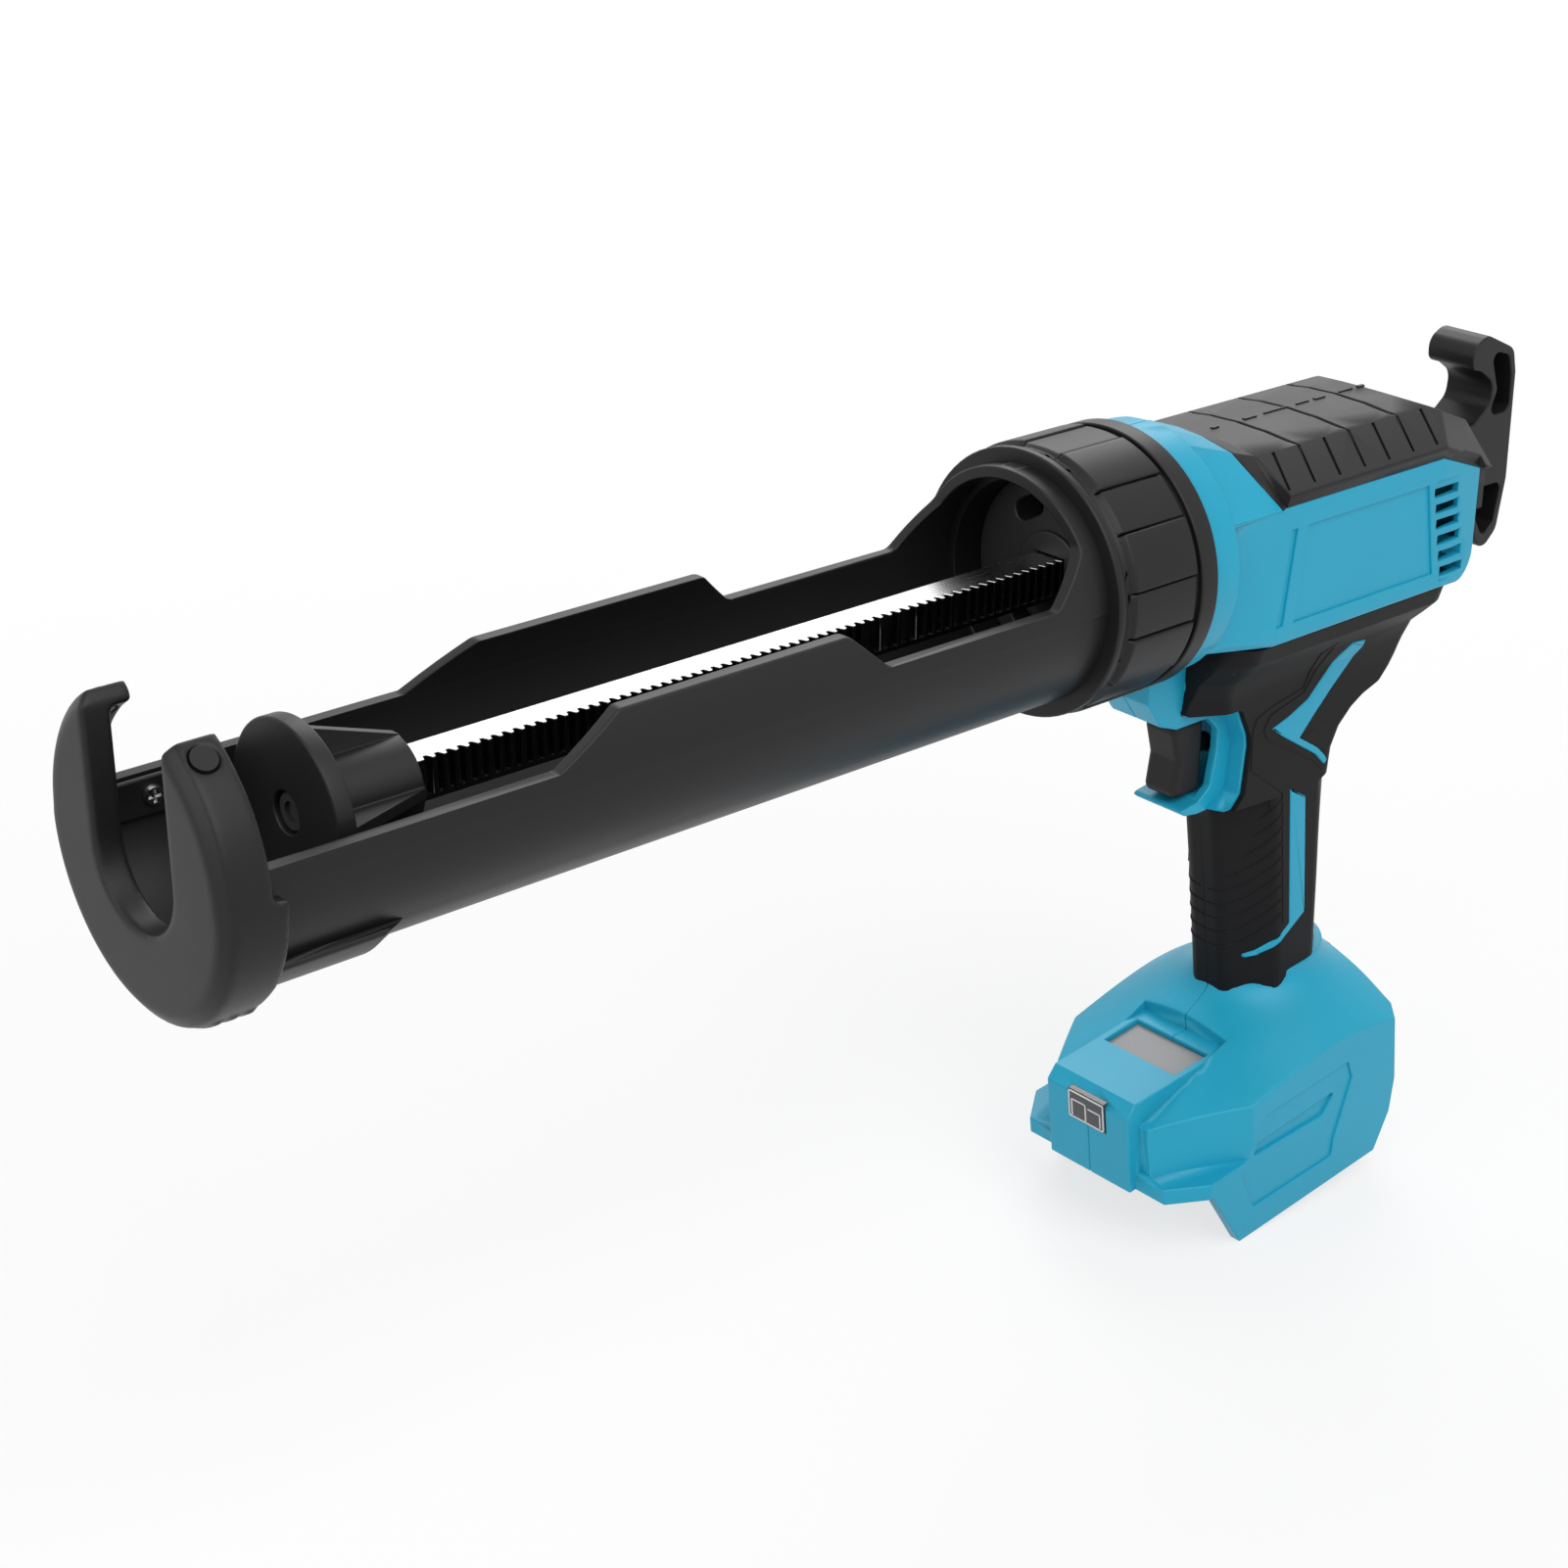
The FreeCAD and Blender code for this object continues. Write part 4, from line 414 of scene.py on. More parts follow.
@made_once("rack_teeth")
def tooth_shade_group(name):
    """Colour of a ground rack: bright, and darker between the teeth below its top face."""
    tree, given, made = new_tree(
        SHADER, name,
        [("Bright", COLOUR, (0.7, 0.7, 0.7, 1.0)), ("Dark", COLOUR, (0.1, 0.1, 0.1, 1.0)),
         ("Root", FLOAT, 0.0), ("Top", FLOAT, 0.0), ("Blend", FLOAT, 0.0004)],
        [("Colour", COLOUR)])
    place = put(tree, "ShaderNodeSeparateXYZ", {"Vector": object_place(tree)}).outputs
    # Shares of the painted shade: past the root across the teeth, and below the bright top band
    shares = []
    for axis, edge, first, second in (("Y", "Root", 0.0, 1.0), ("Z", "Top", 1.0, 0.0)):
        past = put(tree, "ShaderNodeMath", {0: place[axis], 1: given[edge]}, operation="SUBTRACT")
        ramp = put(tree, "ShaderNodeMapRange", {
            "Value": past.outputs["Value"], "From Max": given["Blend"], "To Min": first,
            "To Max": second})
        shares.append(ramp.outputs["Result"])
    both = put(tree, "ShaderNodeMath", {0: shares[0], 1: shares[1]}, operation="MULTIPLY")
    # A Mix node's colours are its inputs 6 and 7 and its output 2
    mix = put(tree, "ShaderNodeMix", {
        "Factor": both.outputs["Value"], 6: given["Bright"], 7: given["Dark"]}, data_type="RGBA")
    tree.links.new(mix.outputs[2], made["Colour"])
    return tree


# Materials

def colour_of(name):
    """A colour setting with full opacity."""
    return (*getattr(bpy.context.scene.caulker_colours, name), 1.0)


def new_material(name):
    """A material with a plain Principled shader."""
    material = bpy.data.materials.new(name)
    material.use_nodes = True
    return material, material.node_tree, material.node_tree.nodes["Principled BSDF"]


def finish(name, skin_group, skin, gloss, tone=None, drift=None, teeth=None, bump=None, plain=None):
    """A material with a drifting gloss and, where they are given, a drifting tone, dark tooth
    gaps, a fine height as (distance, strength) and plain values on the shader's own sockets."""
    material = bpy.data.materials.get(name)
    if material:
        return material
    material, tree, shader = new_material(name)
    skin = put(tree, "ShaderNodeGroup", {**skin, "Low Gloss": gloss[0], "High Gloss": gloss[1]},
               node_tree=skin_group)
    tree.links.new(skin.outputs["Roughness"], shader.inputs["Roughness"])
    # A rack's colour: bright steel with painted shade between its teeth
    if teeth:
        tone = {"Colour": put(tree, "ShaderNodeGroup", teeth,
                              node_tree=tooth_shade_group()).outputs["Colour"]}
    if tone:
        tone = put(tree, "ShaderNodeGroup", {**tone, "Darkest": drift[0], "Lightest": drift[1]},
                   node_tree=tone_group())
        tree.links.new(tone.outputs["Colour"], shader.inputs["Base Color"])
    if bump:
        height = put(tree, "ShaderNodeBump", {
            "Distance": bump[0], "Strength": bump[1], "Height": skin.outputs["Height"]})
        tree.links.new(height.outputs["Normal"], shader.inputs["Normal"])
    for label, value in (plain or {}).items():
        shader.inputs[label].default_value = value
    return material


def moulded(name, colour, gloss, grain, bump, specular, drift=MOULDED_DRIFT):
    """Moulded plastic or rubber: drifting tone and gloss, and a fine grain."""
    return finish(name, grain_group(), {"Grain Scale": grain}, gloss,
                  tone={"Colour": colour_of(colour)}, drift=drift, bump=bump,
                  plain={"Specular IOR Level": specular})


def metal(name, colour, gloss, bump):
    """Bare metal with fine lines."""
    return finish(name, brushed_group(), {}, gloss, tone={"Colour": colour_of(colour)},
                  drift=METAL_DRIFT, bump=bump, plain={"Metallic": 1.0})


def cyan_plastic():
    """Satin cyan housing plastic."""
    return moulded("cyan_housing", "cyan", gloss=(0.36, 0.46), grain=1500.0, bump=(0.00006, 0.25),
                   specular=0.32, drift=(0.965, 1.03))


def black_plastic():
    """Satin charcoal plastic."""
    return moulded("black_moulding", "black", gloss=(0.36, 0.47), grain=1700.0,
                   bump=(0.00006, 0.3), specular=0.24)


def grip_rubber():
    """Soft matt rubber of the handle."""
    return moulded("soft_grip", "rubber", gloss=(0.5, 0.6), grain=2200.0, bump=(0.0001, 0.35),
                   specular=0.15)


def guide_plastic():
    """Plain inner mouldings."""
    return moulded("inner_moulding", "guide", gloss=(0.4, 0.5), grain=1400.0, bump=(0.00006, 0.25),
                   specular=0.4)


def board_lacquer():
    """Lacquered circuit board."""
    return moulded("board_lacquer", "board", gloss=(0.2, 0.32), grain=900.0, bump=(0.00004, 0.2),
                   specular=0.5)


def dark_casting():
    """Dark cast gear case."""
    return moulded("dark_casting", "casting", gloss=(0.42, 0.56), grain=1100.0, bump=(0.0001, 0.4),
                   specular=0.5)


def bright_steel():
    """Bright drawn steel."""
    return metal("drawn_steel", "steel", gloss=(0.14, 0.3), bump=(0.00002, 0.3))


def gear_steel():
    """Machined gear steel."""
    return metal("machined_steel", "gear", gloss=(0.24, 0.42), bump=(0.00003, 0.35))


def brass():
    """Plain brass."""
    return metal("plain_brass", "brass", gloss=(0.2, 0.36), bump=(0.00002, 0.3))


def rack_steel(root, top):
    """Bright rack with dark tooth gaps outside root and below top."""
    # Painted shade: the teeth are darkened where shade falls between them
    teeth = {"Bright": colour_of("steel"), "Dark": colour_of("tooth_gap_shade"), "Root": root, "Top": top}
    return finish("rack_steel", brushed_group(), {}, gloss=(0.16, 0.32), drift=METAL_DRIFT,
                  teeth=teeth, bump=(0.00002, 0.3), plain={"Metallic": 1.0})


def display_window():
    """Grey polished window with a faint haze."""
    return finish("display_window", grain_group(), {"Grain Scale": 300.0, "Drift Scale": 90.0},
                  gloss=(0.28, 0.36), tone={"Colour": colour_of("window"), "Drift Scale": 60.0},
                  drift=(0.86, 1.1), plain={"Specular IOR Level": 0.3})


def clear_lens():
    """Clear lamp lens."""
    return finish("lamp_glass", grain_group(), {"Grain Scale": 420.0, "Drift Scale": 120.0},
                  gloss=(0.03, 0.10), bump=(0.0001, 0.15),
                  plain={"Base Color": colour_of("lens"), "Transmission Weight": 0.4, "IOR": 1.49})


# Pieces made from the frame

def room_beside(edge):
    """Shortest run that an edge's round can slide along at either end."""
    along = (edge.verts[1].co - edge.verts[0].co).normalized()
    room = math.inf
    for vert in edge.verts:
        for other in vert.link_edges:
            if other is edge or not set(other.link_faces) & set(edge.link_faces):
                continue
            run = other.other_vert(vert).co - vert.co
            if abs(run.normalized().dot(along)) < ALONG_COSINE:
                room = min(room, run.length)
    return room


def weigh_edges(shape, width):
    """Gives each outward corner edge a round that fits between its neighbours."""
    weights = shape.edges.layers.float.new(EDGE_WEIGHTS)
    for edge in shape.edges:
        if len(edge.link_faces) != 2 or not edge.is_convex:
            continue
        if edge.calc_face_angle(0.0) < CORNER_ANGLE:
            continue
        share = min(1.0, ROOM_SHARE * room_beside(edge) / width)
        if share > LEAST_SHARE:
            edge[weights] = share


def evaluated_mesh(obj):
    """The object's mesh with its modifiers, as plain data."""
    graph = bpy.context.evaluated_depsgraph_get()
    graph.update()
    return bpy.data.meshes.new_from_object(obj.evaluated_get(graph), depsgraph=graph)


def swap_mesh(obj, mesh):
    """Gives an object a finished mesh and drops its modifiers."""
    old = obj.data
    obj.modifiers.clear()
    obj.data = mesh
    bpy.data.meshes.remove(old)


def link_new(name, data):
    """A new object at the origin."""
    obj = bpy.data.objects.new(name, data)
    bpy.context.scene.collection.objects.link(obj)
    return obj


def coat(mesh, material):
    """Gives a mesh one material."""
    mesh.materials.clear()
    mesh.materials.append(material)


def shade_smooth(mesh):
    """Smooth shading all over."""
    mesh.polygons.foreach_set("use_smooth", [True] * len(mesh.polygons))


def shade_by_angle(mesh):
    """Smooth shading that keeps sharp corners."""
    shade_smooth(mesh)
    mesh.set_sharp_from_angle(angle=SMOOTH_ANGLE)


def even_normals(obj):
    """Flat faces stay flat beside their rounds."""
    shade_by_angle(obj.data)
    weighted = obj.modifiers.new("even_normals", "WEIGHTED_NORMAL")
    weighted.mode = "FACE_AREA"
    weighted.weight = NORMAL_WEIGHT
    weighted.keep_sharp = True
    swap_mesh(obj, evaluated_mesh(obj))


def shape_triangles(shape):
    """Corner points of a shape's triangles."""
    return [tuple(loop.vert.co.copy() for loop in loops) for loops in shape.calc_loop_triangles()]


def mesh_triangles(mesh):
    """Corner points of a mesh's triangles."""
    mesh.calc_loop_triangles()
    return [tuple(mesh.vertices[index].co.copy() for index in triangle.vertices)
            for triangle in mesh.loop_triangles]


def skin_of(triangles):
    """A search tree over triangles."""
    points = [point for triangle in triangles for point in triangle]
    return BVHTree.FromPolygons(points, [(i, i + 1, i + 2) for i in range(0, len(points), 3)])


def strays(old, new, limit):
    """Corners of the triangles that lie apart from the other skin, either way round."""
    places = []
    for these, others in ((old, new), (new, old)):
        skin = skin_of(others)
        for corners in these:
            middle = (corners[0] + corners[1] + corners[2]) / 3.0
            if max(skin.find_nearest(point)[3] for point in (middle, *corners)) > limit:
                places += corners
    return places


def points_near(places, verts, reach):
    """The vertices within reach of the places."""
    tree = KDTree(len(places))
    for index, place in enumerate(places):
        tree.insert(place, index)
    tree.balance()
    return [vert for vert in verts if tree.find(vert.co)[2] < reach]


def merged_shape(node):
    """A frame piece's mesh with its flat triangles joined into faces."""
    plain = mesh_triangles(frame["nodes"][node].data)
    places = []
    for _ in range(ROUND_TRIES):
        shape = bmesh.new()
        shape.from_mesh(frame["nodes"][node].data)
        bmesh.ops.remove_doubles(shape, verts=shape.verts, dist=MERGE_DISTANCE)
        bmesh.ops.dissolve_degenerate(shape, edges=shape.edges, dist=MERGE_DISTANCE)
        near = points_near(places, shape.verts, MERGE_REACH) if places else []
        kept = {edge for vert in near for edge in vert.link_edges}
        free = [edge for edge in shape.edges if edge not in kept]
        bmesh.ops.dissolve_limit(shape, angle_limit=FLAT_ANGLE, verts=[], edges=free)
        found = strays(plain, shape_triangles(shape), MERGE_LIMIT)
        if not found:
            return shape
        places += found
        shape.free()
    raise RuntimeError(f"{node} can't be merged")


def bevelled(name, shape, width):
    """An object with the shape's weighed edges rounded."""
    mesh = bpy.data.meshes.new(name)
    shape.to_mesh(mesh)
    obj = link_new(name, mesh)
    bevel = obj.modifiers.new("round", "BEVEL")
    bevel.width = width
    bevel.segments = ROUND_STEPS
    bevel.limit_method = "WEIGHT"
    bevel.use_clamp_overlap = False
    bevel.loop_slide = False
    swap_mesh(obj, evaluated_mesh(obj))
    return obj


def ease_edges(shape, places, reach):
    """Takes the round off the edges near the places."""
    weights = shape.edges.layers.float[EDGE_WEIGHTS]
    for vert in points_near(places, shape.verts, reach):
        for edge in vert.link_edges:
            edge[weights] = 0.0


def split_faces(shape, places, reach):
    """Cuts the faces beside the places into triangles."""
    near = set(points_near(places, shape.verts, reach))
    faces = [face for face in shape.faces if len(face.verts) > 3 and near & set(face.verts)]
    bmesh.ops.triangulate(shape, faces=faces)


def rounded_copy(name, node, width, material):
    """A copy of a frame piece with rounded corners, a smooth skin and its material."""
    shape = merged_shape(node)
    plain = shape_triangles(shape)
    weigh_edges(shape, width)
    for attempt in range(ROUND_TRIES):
        obj = bevelled(name, shape, width)
        places = strays(plain, mesh_triangles(obj.data), STRAY_SHARE * width)
        if not places:
            break
        bpy.data.objects.remove(obj)
        ease_edges(shape, places, (EASE_SHARE + attempt) * width)
        if attempt >= SPLIT_AFTER:
            split_faces(shape, places, width)
    else:
        raise RuntimeError(f"{node} can't be rounded")
    shape.free()
    even_normals(obj)
    coat(obj.data, material)
    return obj


def softened_copy(name, node, grain, passes, material):
    """A copy of a frame piece with broad soft corners."""
    obj = link_new(name, frame["nodes"][node].data.copy())
    skin = obj.modifiers.new("skin", "REMESH")
    skin.mode = "VOXEL"
    skin.voxel_size = grain
    soft = obj.modifiers.new("soften", "SMOOTH")
    soft.factor = SOFTEN_FACTOR
    soft.iterations = passes
    fewer = obj.modifiers.new("fewer", "DECIMATE")
    fewer.ratio = NOSE_KEPT_SHARE
    swap_mesh(obj, evaluated_mesh(obj))
    shade_smooth(obj.data)
    coat(obj.data, material)
    return obj


def body_of_node(node):
    """The body that carries a frame piece."""
    for body, nodes in frame["record"]["behaviour"]["bodies"].items():
        if node in nodes:
            return body
    raise ValueError(f"no body carries {node}")


def carry(piece, node):
    """The piece rides with a frame piece and takes its slot, or the slot of another like it."""
    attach(piece, body_of_node(node))
    return piece


def dress(piece, node):
    """The piece stands for a frame piece, rides with it and takes its slot."""
    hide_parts(node)
    return carry(piece, node)


def finish_node(node, width, material):
    """A rounded copy that stands for its frame piece."""
    return dress(rounded_copy(f"{node}_finished", node, width, material), node)


# Geometry Nodes

def end_tree(tree, geometry, material, made):
    """Realize Instances and Set Material close a tree."""
    real = put(tree, "GeometryNodeRealizeInstances", {"Geometry": geometry}).outputs["Geometry"]
    coated = put(tree, "GeometryNodeSetMaterial", {"Geometry": real, "Material": material})
    tree.links.new(coated.outputs["Geometry"], made["Geometry"])


def named(tree, name, kind):
    """A named attribute of the points."""
    return put(tree, "GeometryNodeInputNamedAttribute", {"Name": name},
               data_type=kind).outputs["Attribute"]


def run_tree(obj, tree, values):
    """Runs a tree on an object with its own values and keeps the plain mesh."""
    nodes = obj.modifiers.new(tree.name, "NODES")
    nodes.node_group = tree
    for socket in tree.interface.items_tree:
        if socket.item_type == "SOCKET" and socket.in_out == "INPUT" and socket.name in values:
            nodes[socket.identifier] = values[socket.name]
    swap_mesh(obj, evaluated_mesh(obj))
    shade_by_angle(obj.data)
    return obj


@made_once("cross_screws")
def screw_tree(name):
    """Screws at points: a coned head with a cross recess, and a shank of each point's length."""
    tree, given, made = new_tree(
        GEOMETRY, name,
        [("Geometry", SHAPE), ("Head Radius", FLOAT), ("Head Height", FLOAT),
         ("Shank Radius", FLOAT), ("Recess Length", FLOAT), ("Recess Width", FLOAT),
         ("Sides", WHOLE), ("Material", FINISH)],
        [("Geometry", SHAPE)])
    height = given["Head Height"]
    rim = put(tree, "ShaderNodeMath", {0: given["Head Radius"], 1: HEAD_RIM_SHARE},
              operation="MULTIPLY")
    head = put(tree, "GeometryNodeMeshCone", {
        "Vertices": given["Sides"], "Radius Top": rim.outputs[0],
        "Radius Bottom": given["Head Radius"], "Depth": height})
    lift = put(tree, "ShaderNodeMath", {0: height, 1: RECESS_LIFT}, operation="MULTIPLY")
    up = put(tree, "ShaderNodeCombineXYZ", {"Z": lift.outputs[0]})
    cross = put(tree, "GeometryNodeMeshBoolean", operation="UNION", solver="EXACT")
    for long, wide in (("Recess Length", "Recess Width"), ("Recess Width", "Recess Length")):
        size = put(tree, "ShaderNodeCombineXYZ", {"X": given[long], "Y": given[wide], "Z": height})
        bar = put(tree, "GeometryNodeMeshCube", {"Size": size.outputs["Vector"]})
        raised = put(tree, "GeometryNodeTransform", {
            "Geometry": bar.outputs["Mesh"], "Translation": up.outputs["Vector"]})
        tree.links.new(raised.outputs["Geometry"], cross.inputs["Mesh 2"])
    cut = put(tree, "GeometryNodeMeshBoolean", {
        "Mesh 1": head.outputs["Mesh"], "Mesh 2": cross.outputs["Mesh"]}, operation="DIFFERENCE",
        solver="EXACT")
    # A shank of unit length, which each screw's run stretches
    shank = put(tree, "GeometryNodeMeshCylinder", {
        "Vertices": given["Sides"], "Radius": given["Shank Radius"], "Depth": 1.0})
    below = put(tree, "GeometryNodeTransform", {
        "Geometry": shank.outputs["Mesh"], "Translation": (0.0, 0.0, -0.5)})
    turn = put(tree, "FunctionNodeAlignRotationToVector", {
        "Vector": named(tree, "facing", "FLOAT_VECTOR")}, axis="Z").outputs["Rotation"]
    stretch = put(tree, "ShaderNodeCombineXYZ", {
        "X": 1.0, "Y": 1.0, "Z": named(tree, "run", "FLOAT")})
    heads = put(tree, "GeometryNodeInstanceOnPoints", {
        "Points": given["Geometry"], "Instance": cut.outputs["Mesh"], "Rotation": turn})
    shanks = put(tree, "GeometryNodeInstanceOnPoints", {
        "Points": given["Geometry"], "Instance": below.outputs["Geometry"], "Rotation": turn,
        "Scale": stretch.outputs["Vector"]})
    both = put(tree, "GeometryNodeJoinGeometry", {"Geometry": heads.outputs["Instances"]})
    tree.links.new(shanks.outputs["Instances"], both.inputs["Geometry"])
    end_tree(tree, both.outputs["Geometry"], given["Material"], made)
    return tree


@made_once("surface_lines")
def line_tree(name):
    """Round lines that are cast from their points onto a surface along each point's aim."""
    tree, given, made = new_tree(
        GEOMETRY, name,
        [("Geometry", SHAPE), ("Surface", OBJECT), ("Line Radius", FLOAT), ("Step", FLOAT),
         ("Reach", FLOAT), ("Sides", WHOLE), ("Material", FINISH)],
        [("Geometry", SHAPE)])
    curve = put(tree, "GeometryNodeMeshToCurve", {"Mesh": given["Geometry"]})
    even = put(tree, "GeometryNodeResampleCurve", {
        "Curve": curve.outputs["Curve"], "Length": given["Step"]}, mode="LENGTH")
    surface = put(tree, "GeometryNodeObjectInfo", {"Object": given["Surface"]})
    cast = put(tree, "GeometryNodeRaycast", {
        "Target Geometry": surface.outputs["Geometry"],
        "Ray Direction": named(tree, "aim", "FLOAT_VECTOR"), "Ray Length": given["Reach"]})
    missed = put(tree, "FunctionNodeBooleanMath", {0: cast.outputs["Is Hit"]}, operation="NOT")
    met = put(tree, "GeometryNodeDeleteGeometry", {
        "Geometry": even.outputs["Curve"], "Selection": missed.outputs["Boolean"]}, domain="POINT")
    kept = put(tree, "GeometryNodeSetPosition", {
        "Geometry": met.outputs["Geometry"], "Position": cast.outputs["Hit Position"]})
    swept = put(tree, "GeometryNodeCurvePrimitiveCircle", {
        "Resolution": given["Sides"], "Radius": given["Line Radius"]})
    tube = put(tree, "GeometryNodeCurveToMesh", {
        "Curve": kept.outputs["Geometry"], "Profile Curve": swept.outputs["Curve"],
        "Fill Caps": True})
    end_tree(tree, tube.outputs["Mesh"], given["Material"], made)
    return tree


@made_once("middle_dashes")
def dash_tree(name):
    """A bar at each point, as long and as wide as the point says, laid on a surface below."""
    tree, given, made = new_tree(
        GEOMETRY, name,
        [("Geometry", SHAPE), ("Surface", OBJECT), ("Reach", FLOAT), ("Dash Height", FLOAT),
         ("Material", FINISH)],
        [("Geometry", SHAPE)])
    surface = put(tree, "GeometryNodeObjectInfo", {"Object": given["Surface"]})
    cast = put(tree, "GeometryNodeRaycast", {
        "Target Geometry": surface.outputs["Geometry"], "Ray Direction": (0.0, 0.0, -1.0),
        "Ray Length": given["Reach"]})
    laid = put(tree, "GeometryNodeSetPosition", {
        "Geometry": given["Geometry"], "Position": cast.outputs["Hit Position"]})
    bar = put(tree, "GeometryNodeMeshCube", {"Size": (1.0, 1.0, 1.0)})
    size = put(tree, "ShaderNodeCombineXYZ", {
        "X": named(tree, "long", "FLOAT"), "Y": named(tree, "wide", "FLOAT"),
        "Z": given["Dash Height"]})
    bars = put(tree, "GeometryNodeInstanceOnPoints", {
        "Points": laid.outputs["Geometry"], "Instance": bar.outputs["Mesh"],
        "Scale": size.outputs["Vector"]})
    end_tree(tree, bars.outputs["Instances"], given["Material"], made)
    return tree


def point_mesh(name, lines, **values):
    """Points joined along each line, with named attributes for a tree to read."""
    mesh = bpy.data.meshes.new(name)
    points = [point for line in lines for point in line]
    edges = []
    start = 0
    for line in lines:
        edges += [(start + step, start + step + 1) for step in range(len(line) - 1)]
        start += len(line)
    mesh.from_pydata(points, edges, [])
    for label, rows in values.items():
        single = isinstance(rows[0], float)
        attribute = mesh.attributes.new(label, "FLOAT" if single else "FLOAT_VECTOR", "POINT")
        for item, row in zip(attribute.data, rows):
            setattr(item, "value" if single else "vector", row)
    return mesh


def islands(mesh):
    """The points of each loose part of a mesh."""
    shape = bmesh.new()
    shape.from_mesh(mesh)
    bmesh.ops.remove_doubles(shape, verts=shape.verts, dist=MERGE_DISTANCE)
    parts = []
    left = set(shape.verts)
    while left:
        part = set()
        reached = {left.pop()}
        while reached:
            vert = reached.pop()
            part.add(vert)
            near = {edge.other_vert(vert) for edge in vert.link_edges}
            reached |= near & left
            left -= near
        parts.append([vert.co.copy() for vert in part])
    shape.free()
    return parts


def read_screws(node):
    """Place under the head, facing, shank length and head sizes of screws that lie along Y."""
    rows = []
    for points in islands(frame["nodes"][node].data):
        low = Vector(min(point[axis] for point in points) for axis in range(3))
        high = Vector(max(point[axis] for point in points) for axis in range(3))
        middle = (low + high) / 2.0
        reach = [math.hypot(point.x - middle.x, point.z - middle.z) for point in points]
        radius = max(reach)
        head = [point.y for point, far in zip(points, reach) if far > HEAD_SHARE * radius]
        side = 1.0 if min(head) > middle.y else -1.0
        shank = max(far for point, far in zip(points, reach) if (point.y - middle.y) * side < 0.0)
        under = min(head) if side > 0.0 else max(head)
        run = under - low.y if side > 0.0 else high.y - under
        rows.append({"place": (middle.x, under, middle.z), "facing": (0.0, side, 0.0), "run": run,
                     "radius": radius, "height": max(head) - min(head), "shank": shank})
    return sorted(rows, key=lambda row: row["place"])


def make_screws(node, sizes):
    """Screws with cross recesses that stand for a frame piece's plain ones."""
    rows = read_screws(node)
    mesh = point_mesh(node, [[row["place"]] for row in rows],
                      facing=[row["facing"] for row in rows], run=[row["run"] for row in rows])
    first = rows[0]
    recess = 2.0 * sizes.recess_share * first["radius"]
    piece = run_tree(link_new(f"{node}_finished", mesh), screw_tree(), {
        "Head Radius": first["radius"], "Head Height": first["height"],
        "Shank Radius": first["shank"], "Recess Length": recess,
        "Recess Width": RECESS_SLIM * recess, "Sides": sizes.head_sides,
        "Material": bright_steel()})
    return dress(piece, node)


def sink_edge(grip, drop):
    """Runs a grip's lower edge on into the foot's flare."""
    front, level, slope = GRIP_LOW_EDGE
    for vert in grip.data.vertices:
        if vert.co.z < level + slope * (front - vert.co.x):
            vert.co.z -= drop


def rib_lines(count, side):
    """Points round the handle for each rib, and the aim of each at the handle's middle line."""
    lines = []
    aims = []
    first, second, third = RIB_KEPT_SHARES
    for rib in range(count):
        kept = min(1.0, first + second * rib + third * rib * rib)
        line = []
        for step in range(RIB_STEPS + 1):
            share = kept * step / RIB_STEPS
            angle = RIB_TURN + (RIB_LAST_TURN - RIB_TURN) * share
            fall = RIB_PITCH * rib + RIB_FALL * math.sin(share * math.pi / 2.0)
            out = Vector((math.cos(angle), side * math.sin(angle), 0.0))
            middle = Vector((HANDLE_MIDDLE - HANDLE_LEAN * fall, 0.0, RIB_FIRST_LEVEL - fall))
            line.append(middle + RIB_REACH * out)
            aims.append(-out)
        lines.append(line)
    return lines, aims


def inlay_lines(side):
    """Points beside the handle for the lines round the inlays, and the aim of each at the grip."""
    lines = [[(x, side * LINE_SIDE, z) for x, z in line] for line in GRIP_LINES]
    return lines, [(0.0, -side, 0.0) for line in lines for _ in line]


def lens_highlight_lines(node):
    """Points in front of the lens's face, and the aim of each at it."""
    mesh = frame["nodes"][node].data
    out = max((face.normal.copy() for face in mesh.polygons), key=lambda normal: normal.x)
    corners = [mesh.vertices[index].co for face in mesh.polygons for index in face.vertices
               if face.normal.dot(out) > LENS_FACE_COSINE]
    low = min(corners, key=lambda corner: corner.z)
    high = max(corners, key=lambda corner: corner.z)
    half = max(corner.y for corner in corners)

    def before_face(side, up):
        """The point before the face at these shares of its half width and its height."""
        level = low.lerp(high, up)
        return Vector((level.x, side * half, level.z)) + LENS_CLEAR * out

    lines = [[before_face(side, up) for side, up in line] for line in LENS_HIGHLIGHTS]
    return lines, [-out for line in lines for _ in line]


def lay_lines(name, node, surface, rows, radius, material):
    """Raised lines on a finished piece, from rows of points and their aims."""
    lines, aims = rows
    piece = run_tree(link_new(name, point_mesh(name, lines, aim=aims)), line_tree(), {
        "Surface": surface, "Line Radius": radius, "Step": LINE_STEP, "Reach": LINE_REACH,
        "Sides": LINE_SIDES, "Material": material})
    carry(piece, node)


def lay_dashes(name, node, surface, height, material):
    """Bars on the middle line of a finished piece."""
    places, longs, wides = zip(*COVER_DASHES)
    mesh = point_mesh(name, [[(place, 0.0, DASH_DROP)] for place in places], long=longs, wide=wides)
    piece = run_tree(link_new(name, mesh), dash_tree(), {
        "Surface": surface, "Reach": DASH_REACH, "Dash Height": height, "Material": material})
    carry(piece, node)


# Operators

class CaulkerOperator:
    """What the tool's operators share."""

    bl_options = {"REGISTER", "UNDO"}

    @property
    def sizes(self):
        """The small sizes of the finish."""
        return bpy.context.scene.caulker_sizes


class HolderOperator(CaulkerOperator, bpy.types.Operator):
    """Cartridge holder with its cup and wings"""

    bl_idname = "caulker.holder"
    bl_label = "Cartridge holder"

    def execute(self, context):
        finish_node("holder_tray", self.sizes.holder_round, black_plastic())
        return {"FINISHED"}


